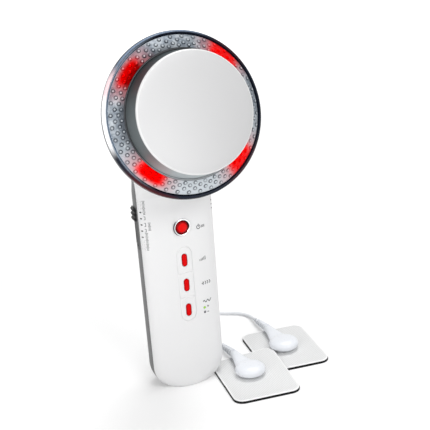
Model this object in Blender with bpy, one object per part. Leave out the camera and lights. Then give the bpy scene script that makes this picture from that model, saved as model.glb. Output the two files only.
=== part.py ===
# Cavitation slimming machine: a handle with a tilted ring head, standing on the flat end of its
# handle, with its two electrode pads and their lead lying beside and behind it.
# Metres. The origin is the centre of the flat foot, the front faces -Y and +Z is up.

import math

import bmesh
import bpy
from mathutils import Matrix, Vector

# Clearances and cutters
GAP = 0.0003
MERGE = 0.000001
OVERRUN = 0.003

# Casing, measured from the seam plane between the white face shell and the grey back shell
CASE_WALL = 0.0018
HANDLE_TOP = 0.106
HANDLE_HALF_WIDTH = 0.0200
HANDLE_LOW_HALF_WIDTH = 0.0195
FACE_DEPTH = 0.0070
BACK_DEPTH = 0.0165
FACE_POWER = 2.2
BACK_POWER = 3.0
FOOT_HALF_WIDTH = 0.0075
FOOT_FACE_DEPTH = 0.0058
FOOT_BACK_DEPTH = 0.0098
SIDE_RISE = 0.0125
FACE_RISE = 0.0060
SEAM_Y = (FOOT_FACE_DEPTH - FOOT_BACK_DEPTH) / 2

# Head ring
TILT = math.radians(17)
RING_RADIUS = 0.0400
RING_FORWARD = 0.0212
RING_RISE = 0.0043
RING_HEIGHT = HANDLE_TOP + RING_RISE + RING_RADIUS
MOUTH_BEHIND = 0.0060
MOUTH_INSET = 0.0028
MOUTH_RADIUS = RING_RADIUS - MOUTH_INSET

# Profile of the head behind the ring
NAPE_RISE = 0.0360
CROWN_BACK = 0.0150
CROWN_DROP = 0.0070
THROAT_RISE = 0.0030
THROAT_RUN = 0.0090
FLARE_POWER = 1.6
FLARE_EASE_SHARE = 0.7

LOOP_POINTS = 32
HOLLOW_POINTS = 24
FOOT_STEPS = 5
HEAD_STEPS = 8
RING_SEGMENTS = 48
INNER_SEGMENTS = 28
SOCKET_SEGMENTS = 16
SMALL_SEGMENTS = 12
RELIEF_SEGMENTS = 10

# Joint travels
POWER_TRAVEL = 0.0010
KEY_TRAVEL = 0.0008
MODE_PITCH = 0.0033
MODE_STEPS = 4
LEVEL_PITCH = 0.00215
LEVEL_STEPS = 2


def clear_scene():
    for thing in list(bpy.data.objects):
        bpy.data.objects.remove(thing, do_unlink=True)


def empty(name, location, rotation=(0, 0, 0), parent=None):
    thing = bpy.data.objects.new(name, None)
    bpy.context.collection.objects.link(thing)
    thing.location = location
    thing.rotation_euler = rotation
    thing.parent = parent
    return thing


def finish(name, colour, roughness, metallic=0.0):
    made = bpy.data.materials.new(name)
    made.use_nodes = True
    shader = made.node_tree.nodes["Principled BSDF"]
    shader.inputs["Base Color"].default_value = (*colour, 1.0)
    shader.inputs["Roughness"].default_value = roughness
    shader.inputs["Metallic"].default_value = metallic
    return made


def piece(name, bm, look, parent=None, location=(0, 0, 0), rotation=(0, 0, 0), smooth=40):
    """Turns a bmesh into a named object with its own finish."""
    bmesh.ops.remove_doubles(bm, verts=bm.verts, dist=MERGE)
    bmesh.ops.recalc_face_normals(bm, faces=bm.faces)
    mesh = bpy.data.meshes.new(name)
    bm.to_mesh(mesh)
    bm.free()
    mesh.shade_smooth()
    mesh.set_sharp_from_angle(angle=math.radians(smooth))
    thing = bpy.data.objects.new(name, mesh)
    bpy.context.collection.objects.link(thing)
    thing.location = location
    thing.rotation_euler = rotation
    thing.parent = parent
    if look:
        mesh.materials.append(finish(name + "_finish", *look))
    return thing


def tool(name, bm, parent=None, location=(0, 0, 0), rotation=(0, 0, 0)):
    """A cutter or a shape to be joined, which the model itself doesn't show."""
    thing = piece(name, bm, None, parent, location, rotation)
    thing.hide_render = True
    thing.display_type = "WIRE"
    return thing


def combine(target, operand, operation):
    modifier = target.modifiers.new(operation.lower() + "_" + operand.name, "BOOLEAN")
    modifier.operation = operation
    modifier.solver = "EXACT"
    modifier.object = operand


def add_box(bm, low, high, at=Matrix()):
    low, high = Vector(low), Vector(high)
    made = bmesh.ops.create_cube(bm, size=1)
    stretch = Matrix.Diagonal((*(high - low), 1))
    bmesh.ops.transform(bm, matrix=at @ Matrix.Translation((low + high) / 2) @ stretch, verts=made["verts"])


def add_turned(bm, profile, segments, at=Matrix(), closed=True):
    """Spins (radius, height) points about Z. An open profile starts and ends on the axis."""
    verts = [bm.verts.new(at @ Vector((radius, 0, height))) for radius, height in profile]
    ends = list(zip(verts, verts[1:]))
    if closed:
        ends.append((verts[-1], verts[0]))
    edges = [bm.edges.new(pair) for pair in ends]
    bmesh.ops.spin(
        bm,
        geom=verts + edges,
        cent=at.translation,
        axis=at.to_3x3() @ Vector((0, 0, 1)),
        angle=math.tau,
        steps=segments,
        use_merge=True,
    )


def add_rod(bm, radius, low, high, at=Matrix(), segments=SMALL_SEGMENTS):
    add_turned(bm, [(0, low), (radius, low), (radius, high), (0, high)], segments, at, closed=False)


def add_prism(bm, outline, low, high, at=Matrix()):
    """Extrudes a closed (x, y) outline from one height to another."""
    verts = [bm.verts.new(at @ Vector((x, y, low))) for x, y in outline]
    face = bm.faces.new(verts)
    moved = bmesh.ops.extrude_face_region(bm, geom=[face], use_keep_orig=True)
    top = [v for v in moved["geom"] if isinstance(v, bmesh.types.BMVert)]
    bmesh.ops.translate(bm, vec=at.to_3x3() @ Vector((0, 0, high - low)), verts=top)


def add_loft(bm, loops):
    """Skins closed loops of equal count and caps both ends."""
    rings = [[bm.verts.new(point) for point in loop] for loop in loops]
    count = len(rings[0])
    for low, high in zip(rings, rings[1:]):
        for k in range(count):
            following = (k + 1) % count
            bm.faces.new((low[k], low[following], high[following], high[k]))
    bm.faces.new(rings[0])
    bm.faces.new(rings[-1])


def rounded_outline(half_width, half_height, radius, steps=4):
    """An upright rectangle with round corners, as (x, y) points."""
    points = []
    for corner, (side, end) in enumerate(((1, 1), (-1, 1), (-1, -1), (1, -1))):
        for k in range(steps + 1):
            angle = math.pi / 2 * (corner + k / steps)
            x = side * (half_width - radius) + radius * math.cos(angle)
            y = end * (half_height - radius) + radius * math.sin(angle)
            points.append((x, y))
    return points


def superellipse_side(share, power):
    """Half-width of a unit superellipse at a share of its depth."""
    return (1 - min(abs(share), 1) ** power) ** (1 / power)


# Casing outline

def ring_axes():
    normal = Vector((0, -math.cos(TILT), math.sin(TILT)))
    up = Vector((0, math.sin(TILT), math.cos(TILT)))
    centre = Vector((0, -RING_FORWARD, RING_HEIGHT))
    return centre, normal, up


def section(plane_origin, depth_axis, half_width, near, middle, far, powers, count):
    """One closed loop across the casing; near, middle and far are distances along depth_axis."""
    near_power, far_power = powers
    loop = []
    for k in range(count):
        angle = math.tau * k / count
        across, along = math.cos(angle), math.sin(angle)
        power = near_power if along < 0 else far_power
        reach = middle - near if along < 0 else far - middle
        x = half_width * math.copysign(abs(across) ** (2 / power), across)
        depth = middle + reach * math.copysign(abs(along) ** (2 / power), along)
        loop.append(plane_origin + Vector((x, 0, 0)) + depth_axis * depth)
    return loop


def handle_half_width(height):
    return HANDLE_LOW_HALF_WIDTH + (HANDLE_HALF_WIDTH - HANDLE_LOW_HALF_WIDTH) * height / HANDLE_TOP


def rounding(height, rise):
    """Share of the full size that a rounded lower end has reached at a height."""
    left = max(1 - height / rise, 0)
    return math.sqrt(1 - left * left)


def handle_section(height, inset, floor, count):
    above = height - floor
    side = rounding(above, SIDE_RISE - floor)
    face = rounding(above, FACE_RISE - floor)
    full = handle_half_width(height)
    half_width = FOOT_HALF_WIDTH + (full - FOOT_HALF_WIDTH) * side - inset
    front = FOOT_FACE_DEPTH + (FACE_DEPTH - FOOT_FACE_DEPTH) * face - inset
    back = FOOT_BACK_DEPTH + (BACK_DEPTH - FOOT_BACK_DEPTH) * face * side - inset
    origin = Vector((0, 0, height))
    powers = (FACE_POWER, BACK_POWER)
    return section(origin, Vector((0, 1, 0)), half_width, -front, 0, back, powers, count)


def bezier(points, share):
    a, b, c, d = points
    rest = 1 - share
    return a * rest**3 + b * 3 * rest**2 * share + c * 3 * rest * share**2 + d * share**3


def head_profiles(inset):
    """The pivot of the fanned sections, and the back's and the throat's curves in the plane x = 0."""
    centre, normal, up = ring_axes()
    mouth = centre - normal * MOUTH_BEHIND
    pivot = mouth - up * ((mouth.z - HANDLE_TOP) / up.z)
    top = mouth + up * (MOUTH_RADIUS - inset)
    low = mouth - up * (MOUTH_RADIUS - inset)
    nape = Vector((0, BACK_DEPTH - inset, HANDLE_TOP))
    crown = top + Vector((0, CROWN_BACK, -CROWN_DROP))
    back = (nape, nape + Vector((0, 0, NAPE_RISE)), crown, top)
    throat = Vector((0, inset - FACE_DEPTH, HANDLE_TOP))
    bend = throat + Vector((0, 0, THROAT_RISE + inset))
    front = (throat, bend, low - normal * THROAT_RUN, low)
    return pivot, back, front


def crossing(curve, pivot, angle):
    """Distance from the pivot at which a ray of the fan meets a curve."""
    low, high = 0.0, 1.0
    for _ in range(40):
        middle = (low + high) / 2
        away = bezier(curve, middle) - pivot
        if math.atan2(away.z, away.y) < angle:
            low = middle
        else:
            high = middle
    return (bezier(curve, low) - pivot).length


def head_sections(inset, count):
    """Sections fanned about the pivot, from just above the handle to the mouth behind the ring."""
    pivot, outer_back, _ = head_profiles(0)
    _, back, front = head_profiles(inset)
    last = math.pi / 2 - TILT
    start_share = FACE_DEPTH / (FACE_DEPTH + BACK_DEPTH)
    loops = []
    for step in range(1, HEAD_STEPS + 1):
        away = bezier(outer_back, step / HEAD_STEPS) - pivot
        angle = min(math.atan2(away.z, away.y), last)
        share = angle / last
        near = crossing(front, pivot, angle)
        far = crossing(back, pivot, angle)
        middle = near + (far - near) * (start_share + (1 / 2 - start_share) * share)
        ease = min(share / FLARE_EASE_SHARE, 1)
        flare = share**FLARE_POWER * ease * ease * (3 - 2 * ease)
        half_width = HANDLE_HALF_WIDTH + (MOUTH_RADIUS - HANDLE_HALF_WIDTH) * flare - inset
        powers = (FACE_POWER + (2 - FACE_POWER) * share, BACK_POWER + (2 - BACK_POWER) * share)
        ray = Vector((0, math.cos(angle), math.sin(angle)))
        loops.append(section(pivot, ray, half_width, near, middle, far, powers, count))
    return loops


def casing_loops(inset, floor, extra, count):
    """All loops from the foot to the mouth; extra moves the last one on past the mouth."""
    levels = []
    for step in range(FOOT_STEPS + 1):
        levels.append(floor + (SIDE_RISE - floor) * (1 - math.cos(math.pi / 2 * step / FOOT_STEPS)))
    levels.append((SIDE_RISE + HANDLE_TOP) / 2)
    levels.append(HANDLE_TOP)
    loops = [handle_section(level, inset, floor, count) for level in levels]
    loops += head_sections(inset, count)
    _, normal, _ = ring_axes()
    loops[-1] = [point + normal * extra for point in loops[-1]]
    return loops


def face_depth_at(x, height):
    """How far the white face stands in front of the seam at a place on the handle."""
    return FACE_DEPTH * superellipse_side(x / handle_half_width(height), FACE_POWER)


def back_depth_at(x, height):
    return BACK_DEPTH * superellipse_side(x / handle_half_width(height), BACK_POWER)


def forward(x, height, parent, name):
    """An empty at a place on the seam plane whose local Z points out of the white face."""
    return empty(name, (x, 0, height), (math.pi / 2, 0, 0), parent)


# Screws that hold the two shells, and the posts and sleeves that they pass
SHELL_SCREW_INSET = 0.0075
SHELL_SCREW_X = HANDLE_HALF_WIDTH - SHELL_SCREW_INSET
SHELL_SCREW_SHARE = 0.4906
SHELL_SCREW_HEIGHT = HANDLE_TOP * SHELL_SCREW_SHARE
SIDE_NAMES = (("left", -1), ("right", 1))
BOSS_RADIUS = 0.0026
BOSS_END = 0.0060
SCREW_RADIUS = 0.0010
SCREW_HEAD_RADIUS = 0.0019
SCREW_HEAD_DEPTH = 0.0014
SCREW_REACH = 0.0070
LEDGE = 0.0018
COUNTERBORE_RADIUS = 0.0023
SLEEVE_WALL = 0.0008

# Main board and what it carries, measured from the seam plane
BOARD_CLEAR = 0.0005
BOARD_HALF_WIDTH = SHELL_SCREW_X - BOSS_RADIUS - BOARD_CLEAR
BOARD_END_SHARES = (0.0991, 0.9811)
BOARD_LOW, BOARD_HIGH = (HANDLE_TOP * share for share in BOARD_END_SHARES)
BOARD_FRONT = 0.0006
BOARD_THICK = 0.0012
BOARD_POST_SHARES = (("high", 0.7234, 0.9151), ("low", -0.6809, 0.3632))
BOARD_POSTS = tuple((name, BOARD_HALF_WIDTH * x, HANDLE_TOP * z) for name, x, z in BOARD_POST_SHARES)
BOARD_SCREW_REACH = 0.0040
POST_RADIUS = 0.0020

# Power button and its bezel
POWER_SHARE = 0.8406
POWER_HEIGHT = HANDLE_TOP * POWER_SHARE
BEZEL_RADIUS = 0.0046
BEZEL_BORE = 0.0035
BEZEL_WALL = 0.0003
BEZEL_PROUD = 0.0009
POWER_RADIUS = 0.0032
POWER_DOME = 0.0011
BUTTON_FLANGE = 0.0007
BUTTON_FLANGE_THICK = 0.0008
STEM_RADIUS = 0.0009

# Key strip
KEY_HALF_WIDTH = 0.0040
KEY_SHARES = (0.6717, 0.5425, 0.4123)
KEY_HEIGHTS = tuple(HANDLE_TOP * share for share in KEY_SHARES)
KEY_STRIP_SHARES = (0.3557, 0.7377)
KEY_STRIP_LOW, KEY_STRIP_TOP = (HANDLE_TOP * share for share in KEY_STRIP_SHARES)
KEY_PROUD = 0.0001
KEY_LIP = 0.0007
INSERT_HALF_WIDTH = 0.00135
INSERT_HALF_HEIGHT = 0.00335
INSERT_DEPTH = 0.0008
INSERT_PROUD = 0.0003
KEY_NAMES = ("top", "middle", "bottom")

# Rubber mat with a switch dome under the button and each key
SWITCH_HALF = 0.0026
SWITCH_TALL = 0.0020
SWITCH_BORE = 0.0013
MAT_THICK = 0.0005
STEM_SEAT = 0.0003

# Indicator lights
LIGHT_X = 0.0091
LIGHT_SHARES = (0.3991, 0.3755)
LIGHT_HEIGHTS = tuple(HANDLE_TOP * share for share in LIGHT_SHARES)
LIGHT_RADIUS = 0.0006
LIGHT_PROUD = 0.0002
LIGHT_NAMES = ("charge_light", "ready_light")

# Side sliders
SLIDE_DEPTH = 0.0062
TRACK_HALF_WIDTH = 0.0022
TRACK_SINK = 0.0001
SLOT_HALF_WIDTH = 0.0010
NECK_HALF_WIDTH = 0.0006
KNOB_HALF_WIDTH = 0.0036
KNOB_PROUD = 0.0006
RIDGE_PROUD = 0.0009
RIDGES = 3
RIDGE_SHARE = 0.5
NECK_REACH = 0.0030
SLIDE_BODY_DEPTH = 0.0042
SLIDE_BODY_SINK = 0.0009
SLIDE_BODY_HALF_WIDTH = 0.0026
SLIDE_CHANNEL = 0.0024
TRACK_END = 0.0012
MODE_SHARE = 0.9123
LEVEL_SHARE = 0.9274
MODE_SLIDER = {
    "label": "mode",
    "side": -1,
    "rest": HANDLE_TOP * MODE_SHARE,
    "travel": MODE_PITCH * MODE_STEPS,
    "knob_half": 0.0037,
    "neck_half": 0.0021,
}
LEVEL_SLIDER = {
    "label": "level",
    "side": 1,
    "rest": HANDLE_TOP * LEVEL_SHARE,
    "travel": LEVEL_PITCH * LEVEL_STEPS,
    "knob_half": 0.0026,
    "neck_half": 0.0014,
}

# Parts of the head, as radius and distance along the ring's axis from its widest plane
DISC_INSET = 0.0098
DISC_TAPER = 0.0012
DISC_BASE_RADIUS = RING_RADIUS - DISC_INSET
DISC_FACE_RADIUS = DISC_BASE_RADIUS - DISC_TAPER
DISC_FACE = 0.0176
DISC_EDGE = 0.0016
DISC_WALL = 0.0013
FLANGE_WIDTH = 0.0024
FLANGE_RADIUS = DISC_BASE_RADIUS + FLANGE_WIDTH
FLANGE_LOW = 0.0022
FLANGE_THICK = 0.0010
FLANGE_HIGH = FLANGE_LOW + FLANGE_THICK
SEAL_THICK = 0.0004
SEAL_FOOT = 0.0004
LENS_THICK = 0.0014
LENS_BORE = DISC_BASE_RADIUS + GAP + SEAL_THICK + GAP
LENS_SEAL_CLEAR = 0.0008
LENS_INNER_HIGH = FLANGE_HIGH + GAP + SEAL_FOOT + LENS_SEAL_CLEAR + LENS_THICK
DISC_BASE = LENS_INNER_HIGH + GAP
LENS_FIELD_INSET = 0.00235
LENS_FIELD_RADIUS = RING_RADIUS - LENS_FIELD_INSET
LENS_FIELD_FALL = 0.0036
LENS_FIELD_HIGH = LENS_INNER_HIGH - LENS_FIELD_FALL
LENS_MID_OUT_SHARE = 0.5116
LENS_MID_UP_SHARE = 0.6389
LENS_MID_RADIUS = LENS_BORE + (LENS_FIELD_RADIUS - LENS_BORE) * LENS_MID_OUT_SHARE
LENS_MID_HIGH = LENS_FIELD_HIGH + LENS_FIELD_FALL * LENS_MID_UP_SHARE
LENS_SHOULDER_INSET = 0.0007
LENS_SHOULDER_RADIUS = RING_RADIUS - LENS_SHOULDER_INSET
LENS_SHOULDER_SHARE = 0.56
LENS_SHOULDER_HIGH = LENS_FIELD_HIGH * LENS_SHOULDER_SHARE
LENS_FLANK_INSET = 0.0004
LENS_FLANK_RADIUS = RING_RADIUS - LENS_FLANK_INSET
LENS_FLANK_LOW = 0.0026
LENS_FOOT_INSET = 0.0020
LENS_FOOT_RADIUS = RING_RADIUS - LENS_FOOT_INSET
LENS_FOOT_THICK = 0.0015
CARRIER_THICK = 0.0010
CARRIER_WALL_INSET = 0.0016
CARRIER_WALL_RADIUS = DISC_BASE_RADIUS - CARRIER_WALL_INSET
CARRIER_WALL = 0.0018
CARRIER_RIM = LENS_FOOT_RADIUS - LENS_FOOT_THICK - GAP
REFLECTOR_WALL = 0.0007
REFLECTOR_INNER = CARRIER_WALL_RADIUS + CARRIER_WALL + GAP
REFLECTOR_CLEAR = 0.00025
REFLECTOR_OUTER = LENS_FIELD_RADIUS - LENS_THICK - REFLECTOR_CLEAR
REFLECTOR_HIGH = 0.0002
LED_BOARD_INNER = REFLECTOR_INNER + REFLECTOR_WALL + GAP
LED_BOARD_SETBACK = 0.0005
LED_BOARD_OUTER = CARRIER_RIM - LED_BOARD_SETBACK
LED_BOARD_THICK = 0.0012
LED_HALF_WIDTH = 0.0009
LED_MIDDLE = (LED_BOARD_INNER + LED_BOARD_OUTER) / 2
LED_TALL = 0.0011
LED_ARC = math.radians(13)
GLOW_ANGLES = tuple(math.radians(a) for a in (45, 135, 225, 315))
SLOT_CLEAR = 0.0004
SLOT_ARC = LED_ARC + math.radians(3)
RING_SCREW_HEAD = 0.0013
RING_SCREW_RADIUS = LED_BOARD_INNER + RING_SCREW_HEAD
RING_SCREWS = (("right", 0.0), ("left", math.pi), ("low", math.pi * 3 / 2))
RING_SCREW_SHANK = 0.0007
RING_SCREW_HEAD_TALL = 0.0011
RING_SCREW_REACH = 0.0052
RING_BOSS_RADIUS = 0.0027
RING_BOSS_LONG = 0.0070
PIEZO_RADIUS = 0.0125
PIEZO_THICK = 0.0022

# Sockets on the back, low down
SOCKET_SHARES = (0.1604, 0.2925)
POWER_SOCKET_HEIGHT, LEAD_SOCKET_HEIGHT = (HANDLE_TOP * share for share in SOCKET_SHARES)
POWER_SOCKET_HALF = 0.0045
POWER_SOCKET_NOSE = 0.0039
POWER_SOCKET_BORE = 0.0029
POWER_PIN_RADIUS = 0.0010
POWER_SOCKET_DEEP = 0.0095
LEAD_SOCKET_HALF = 0.0040
LEAD_SOCKET_NOSE = 0.0033
LEAD_SOCKET_BORE = 0.0021
LEAD_SOCKET_DEEP = 0.0110
SOCKET_PROUD = 0.0002
SOCKET_SHOULDER = 0.0016

# Lead
CORD = 0.0018
PLUG_PIN_RADIUS = 0.0017
PLUG_PIN_LONG = 0.0100
PLUG_RADIUS = 0.0036
PLUG_LONG = 0.0130
PLUG_ROUND = 0.0008
PLUG_RELIEF_LONG = 0.0085
PLUG_RELIEF_START = 0.0024
PLUG_RELIEF_END = 0.0014

# Pads
PAD_HALF_WIDTH = 0.0180
PAD_HALF_LONG = 0.0240
PAD_CORNER = 0.0055
PAD_TURN = math.radians(-8)
GEL_THICK = 0.0010
CLOTH_THICK = 0.0004
CLOTH_MARGIN = 0.0003
NEAR_PAD = (0.0300, -0.0189)
FAR_PAD = (0.0586, 0.0018)
LIFT_RUN = 0.0030
LIFT_CLEAR = 0.0006

# Snap connectors on the pads
NEAR_SNAP = (0.0286, -0.0169)
FAR_SNAP = (0.0576, 0.0002)
NEAR_SNAP_TURN = math.radians(-1.1)
FAR_SNAP_TURN = math.radians(-3.2)
STUD_RADIUS = 0.0024
STUD_FLANGE = 0.0042
STUD_FLANGE_THICK = 0.0003
SNAP_LIFT = 0.0008
SNAP_RADIUS = 0.0080
SNAP_FLAT = 0.0045
SNAP_WAIST = 0.0022
SNAP_TALL = 0.0058
DOME_FULLNESS = 2.5
SNAP_SOCKET = 0.0027
SNAP_SOCKET_DEEP = 0.0012
NECK_START = 0.0020
NECK_END = 0.0214
NECK_HALF_START = 0.0056
NECK_HALF_END = 0.0025
NECK_TALL_START = 0.0019
NECK_TALL_END = 0.0021
RELIEF_LONG = 0.0187
RELIEF_START = 0.0024
RELIEF_END = 0.0014
RELIEF_RIBS = 5
RIB_SINK = 0.0006
RELIEF_DROP = 0.0022
RELIEF_SEAT = 0.0008


# Casing and fasteners

def half_space(name, parent, side):
    """A block that holds everything on one side of the seam plane, less half the seam's gap."""
    reach = RING_RADIUS * 3
    top = RING_HEIGHT + reach
    bm = bmesh.new()
    inner = side * GAP / 2
    outer = side * reach
    low = (-reach, min(inner, outer), -OVERRUN)
    high = (reach, max(inner, outer), top)
    add_box(bm, low, high)
    return tool(name, bm, parent)


def screw_places():
    return [(side * SHELL_SCREW_X, SHELL_SCREW_HEIGHT) for _, side in SIDE_NAMES]


def along_y(x, height):
    """A matrix whose local Z is +Y, through a place on the seam plane."""
    return Matrix.Translation((x, 0, height)) @ Matrix.Rotation(-math.pi / 2, 4, "X")


def add_within(shell, mid_wall, posts):
    """Joins posts to a shell after trimming them where they would come through its wall."""
    combine(posts, mid_wall, "INTERSECT")
    combine(shell, posts, "UNION")


def ring_point(angle, radius):
    return Vector((radius * math.cos(angle), radius * math.sin(angle), 0))


def ring_frame():
    """Where the head ring's own axes lie in the casing's frame."""
    return Matrix.Translation((0, -RING_FORWARD, RING_HEIGHT)) @ Matrix.Rotation(math.pi / 2 - TILT, 4, "X")


def facing(x, height):
    """A matrix whose local Z points out of the white face."""
    return Matrix.Translation((x, 0, height)) @ Matrix.Rotation(math.pi / 2, 4, "X")


def make_shells(seam):
    hollow = bmesh.new()
    add_loft(hollow, casing_loops(CASE_WALL, CASE_WALL, OVERRUN, HOLLOW_POINTS))
    inside = tool("casing_hollow", hollow, seam)
    core = bmesh.new()
    add_loft(core, casing_loops(CASE_WALL / 2, CASE_WALL / 2, -GAP / 2, HOLLOW_POINTS))
    mid_wall = tool("casing_mid_wall", core, seam)
    shells = []
    looks = (("front_shell", -1, ((0.86, 0.86, 0.87), 0.3)), ("back_shell", 1, ((0.17, 0.17, 0.18), 0.4)))
    for name, side, look in looks:
        bm = bmesh.new()
        add_loft(bm, casing_loops(0, 0, 0, LOOP_POINTS))
        shell = piece(name, bm, look, seam, smooth=35)
        combine(shell, inside, "DIFFERENCE")
        combine(shell, half_space(name + "_side", seam, side), "INTERSECT")
        shells.append(shell)
    front, back = shells

    posts = bmesh.new()
    for x, height in screw_places():
        add_rod(posts, BOSS_RADIUS, -FACE_DEPTH, BOSS_END, along_y(x, height))
    for _, x, height in BOARD_POSTS:
        add_rod(posts, POST_RADIUS, -FACE_DEPTH, BOARD_FRONT - GAP, along_y(x, height))
    for _, angle in RING_SCREWS:
        spot = ring_frame() @ Matrix.Translation(ring_point(angle, RING_SCREW_RADIUS))
        add_rod(posts, RING_BOSS_RADIUS, -MOUTH_BEHIND - RING_BOSS_LONG, -MOUTH_BEHIND - GAP, spot)
    add_within(front, mid_wall, tool("front_posts", posts, seam))
    sleeves = bmesh.new()
    for x, height in screw_places():
        add_rod(sleeves, COUNTERBORE_RADIUS + SLEEVE_WALL, BOSS_END + GAP, BACK_DEPTH, along_y(x, height))
    add_within(back, mid_wall, tool("screw_sleeves", sleeves, seam))
    return front, back


def cut_face(front, seam):
    """Every hole in the white shell: screw holes, the bezel's, the key strip's and the lights'."""
    holes = bmesh.new()
    deep = BOSS_END - SCREW_REACH - GAP
    for x, height in screw_places():
        add_rod(holes, SCREW_RADIUS + GAP, deep, BOSS_END + OVERRUN, along_y(x, height))
    for _, x, height in BOARD_POSTS:
        add_rod(holes, SCREW_RADIUS + GAP, BOARD_FRONT - BOARD_SCREW_REACH - GAP, OVERRUN, along_y(x, height))
    for _, angle in RING_SCREWS:
        spot = ring_frame() @ Matrix.Translation(ring_point(angle, RING_SCREW_RADIUS))
        low = -MOUTH_BEHIND - RING_SCREW_REACH - GAP
        add_rod(holes, RING_SCREW_SHANK + GAP, low, -MOUTH_BEHIND + OVERRUN, spot)
    out = FACE_DEPTH + OVERRUN
    within = FACE_DEPTH - CASE_WALL - OVERRUN / 2
    add_rod(holes, BEZEL_BORE + BEZEL_WALL + GAP, within, out, facing(0, POWER_HEIGHT), RING_SEGMENTS // 2)
    middle = (KEY_STRIP_TOP + KEY_STRIP_LOW) / 2
    half = (KEY_STRIP_TOP - KEY_STRIP_LOW) / 2
    window = rounded_outline(KEY_HALF_WIDTH + GAP, half + GAP, KEY_HALF_WIDTH + GAP, 6)
    add_prism(holes, window, within, out, facing(0, middle))
    for height in LIGHT_HEIGHTS:
        add_rod(holes, LIGHT_RADIUS + GAP, within - CASE_WALL, out, facing(LIGHT_X, height))
    combine(front, tool("face_holes", holes, seam), "DIFFERENCE")


def cut_back(back, seam):
    """Every hole in the grey shell: stepped screw holes, the sliders' windows and the sockets'."""
    holes = bmesh.new()
    ledge = BOSS_END + GAP + LEDGE
    for x, height in screw_places():
        out = BACK_DEPTH + OVERRUN
        stepped = (
            (0, BOSS_END - OVERRUN),
            (SCREW_RADIUS + GAP, BOSS_END - OVERRUN),
            (SCREW_RADIUS + GAP, ledge),
            (COUNTERBORE_RADIUS, ledge),
            (COUNTERBORE_RADIUS, out),
            (0, out),
        )
        add_turned(holes, stepped, SMALL_SEGMENTS, along_y(x, height), closed=False)
    for slider in (MODE_SLIDER, LEVEL_SLIDER):
        place, turn = slider_place(slider)
        at = Matrix.Translation(place) @ Matrix.Rotation(turn, 4, "Z")
        _, _, track_low, track_high = slider_spans(slider)
        low = (-CASE_WALL - OVERRUN, -TRACK_HALF_WIDTH - GAP, track_low - GAP)
        add_box(holes, low, (OVERRUN, TRACK_HALF_WIDTH + GAP, track_high + GAP), at)
    shoulder = BACK_DEPTH - CASE_WALL
    for height, nose in ((POWER_SOCKET_HEIGHT, POWER_SOCKET_NOSE), (LEAD_SOCKET_HEIGHT, LEAD_SOCKET_NOSE)):
        low, high = shoulder - OVERRUN, BACK_DEPTH + OVERRUN
        add_rod(holes, nose + GAP, low, high, along_y(0, height), SOCKET_SEGMENTS)
    combine(back, tool("back_holes", holes, seam), "DIFFERENCE")


def make_screw(name, tip, seat, parent, at):
    """A pan-head screw along the local Z of at."""
    profile = (
        (0, tip),
        (SCREW_RADIUS, tip),
        (SCREW_RADIUS, seat),
        (SCREW_HEAD_RADIUS, seat),
        (SCREW_HEAD_RADIUS, seat + SCREW_HEAD_DEPTH),
        (0, seat + SCREW_HEAD_DEPTH),
    )
    bm = bmesh.new()
    add_turned(bm, profile, SMALL_SEGMENTS, at, closed=False)
    piece(name, bm, ((0.55, 0.55, 0.56), 0.3, 1.0), parent)


def make_shell_screws(seam):
    seat = BOSS_END + GAP + LEDGE + GAP
    for name, side in SIDE_NAMES:
        at = along_y(side * SHELL_SCREW_X, SHELL_SCREW_HEIGHT)
        make_screw("shell_screw_" + name, BOSS_END - SCREW_REACH, seat, seam, at)


# Controls on the white face

def switch_top():
    """Height of a switch dome's face above the seam plane."""
    return SWITCH_TALL + GAP - BOARD_FRONT


def make_power_button(seam):
    at = forward(0, POWER_HEIGHT, seam, "power_axis")
    inner = FACE_DEPTH - CASE_WALL
    bm = bmesh.new()
    bezel_out = BEZEL_BORE + BEZEL_WALL
    flange = FACE_DEPTH + GAP
    profile = (
        (BEZEL_BORE, inner),
        (bezel_out, inner),
        (bezel_out, flange),
        (BEZEL_RADIUS, flange),
        (BEZEL_RADIUS, flange + BEZEL_PROUD / 2),
        ((BEZEL_RADIUS + bezel_out) / 2, flange + BEZEL_PROUD),
        (BEZEL_BORE, flange + BEZEL_PROUD * 3 / 4),
    )
    add_turned(bm, profile, RING_SEGMENTS // 2)
    piece("power_bezel", bm, ((0.8, 0.8, 0.82), 0.12, 1.0), at)

    bm = bmesh.new()
    edge = FACE_DEPTH + BEZEL_PROUD / 2
    flange_high = inner - GAP
    flange_low = flange_high - BUTTON_FLANGE_THICK
    profile = [
        (0, switch_top() - STEM_SEAT),
        (STEM_RADIUS, switch_top() - STEM_SEAT),
        (STEM_RADIUS, flange_low),
        (POWER_RADIUS + BUTTON_FLANGE, flange_low),
        (POWER_RADIUS + BUTTON_FLANGE, flange_high),
        (POWER_RADIUS, flange_high),
        (POWER_RADIUS, edge),
    ]
    for step in range(1, 5):
        angle = math.pi / 2 * step / 5
        profile.append((POWER_RADIUS * math.cos(angle), edge + POWER_DOME * math.sin(angle)))
    profile.append((0, edge + POWER_DOME))
    add_turned(bm, profile, RING_SEGMENTS // 2, closed=False)
    piece("power_button", bm, ((0.75, 0.01, 0.02), 0.25), at)


def key_bounds():
    """Low and high ends of each key in the strip, from the top one down."""
    top, middle, low = KEY_HEIGHTS
    first = (top + middle) / 2
    second = (middle + low) / 2
    return (
        (first + GAP / 2, KEY_STRIP_TOP),
        (second + GAP / 2, first - GAP / 2),
        (KEY_STRIP_LOW, second - GAP / 2),
    )


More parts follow.
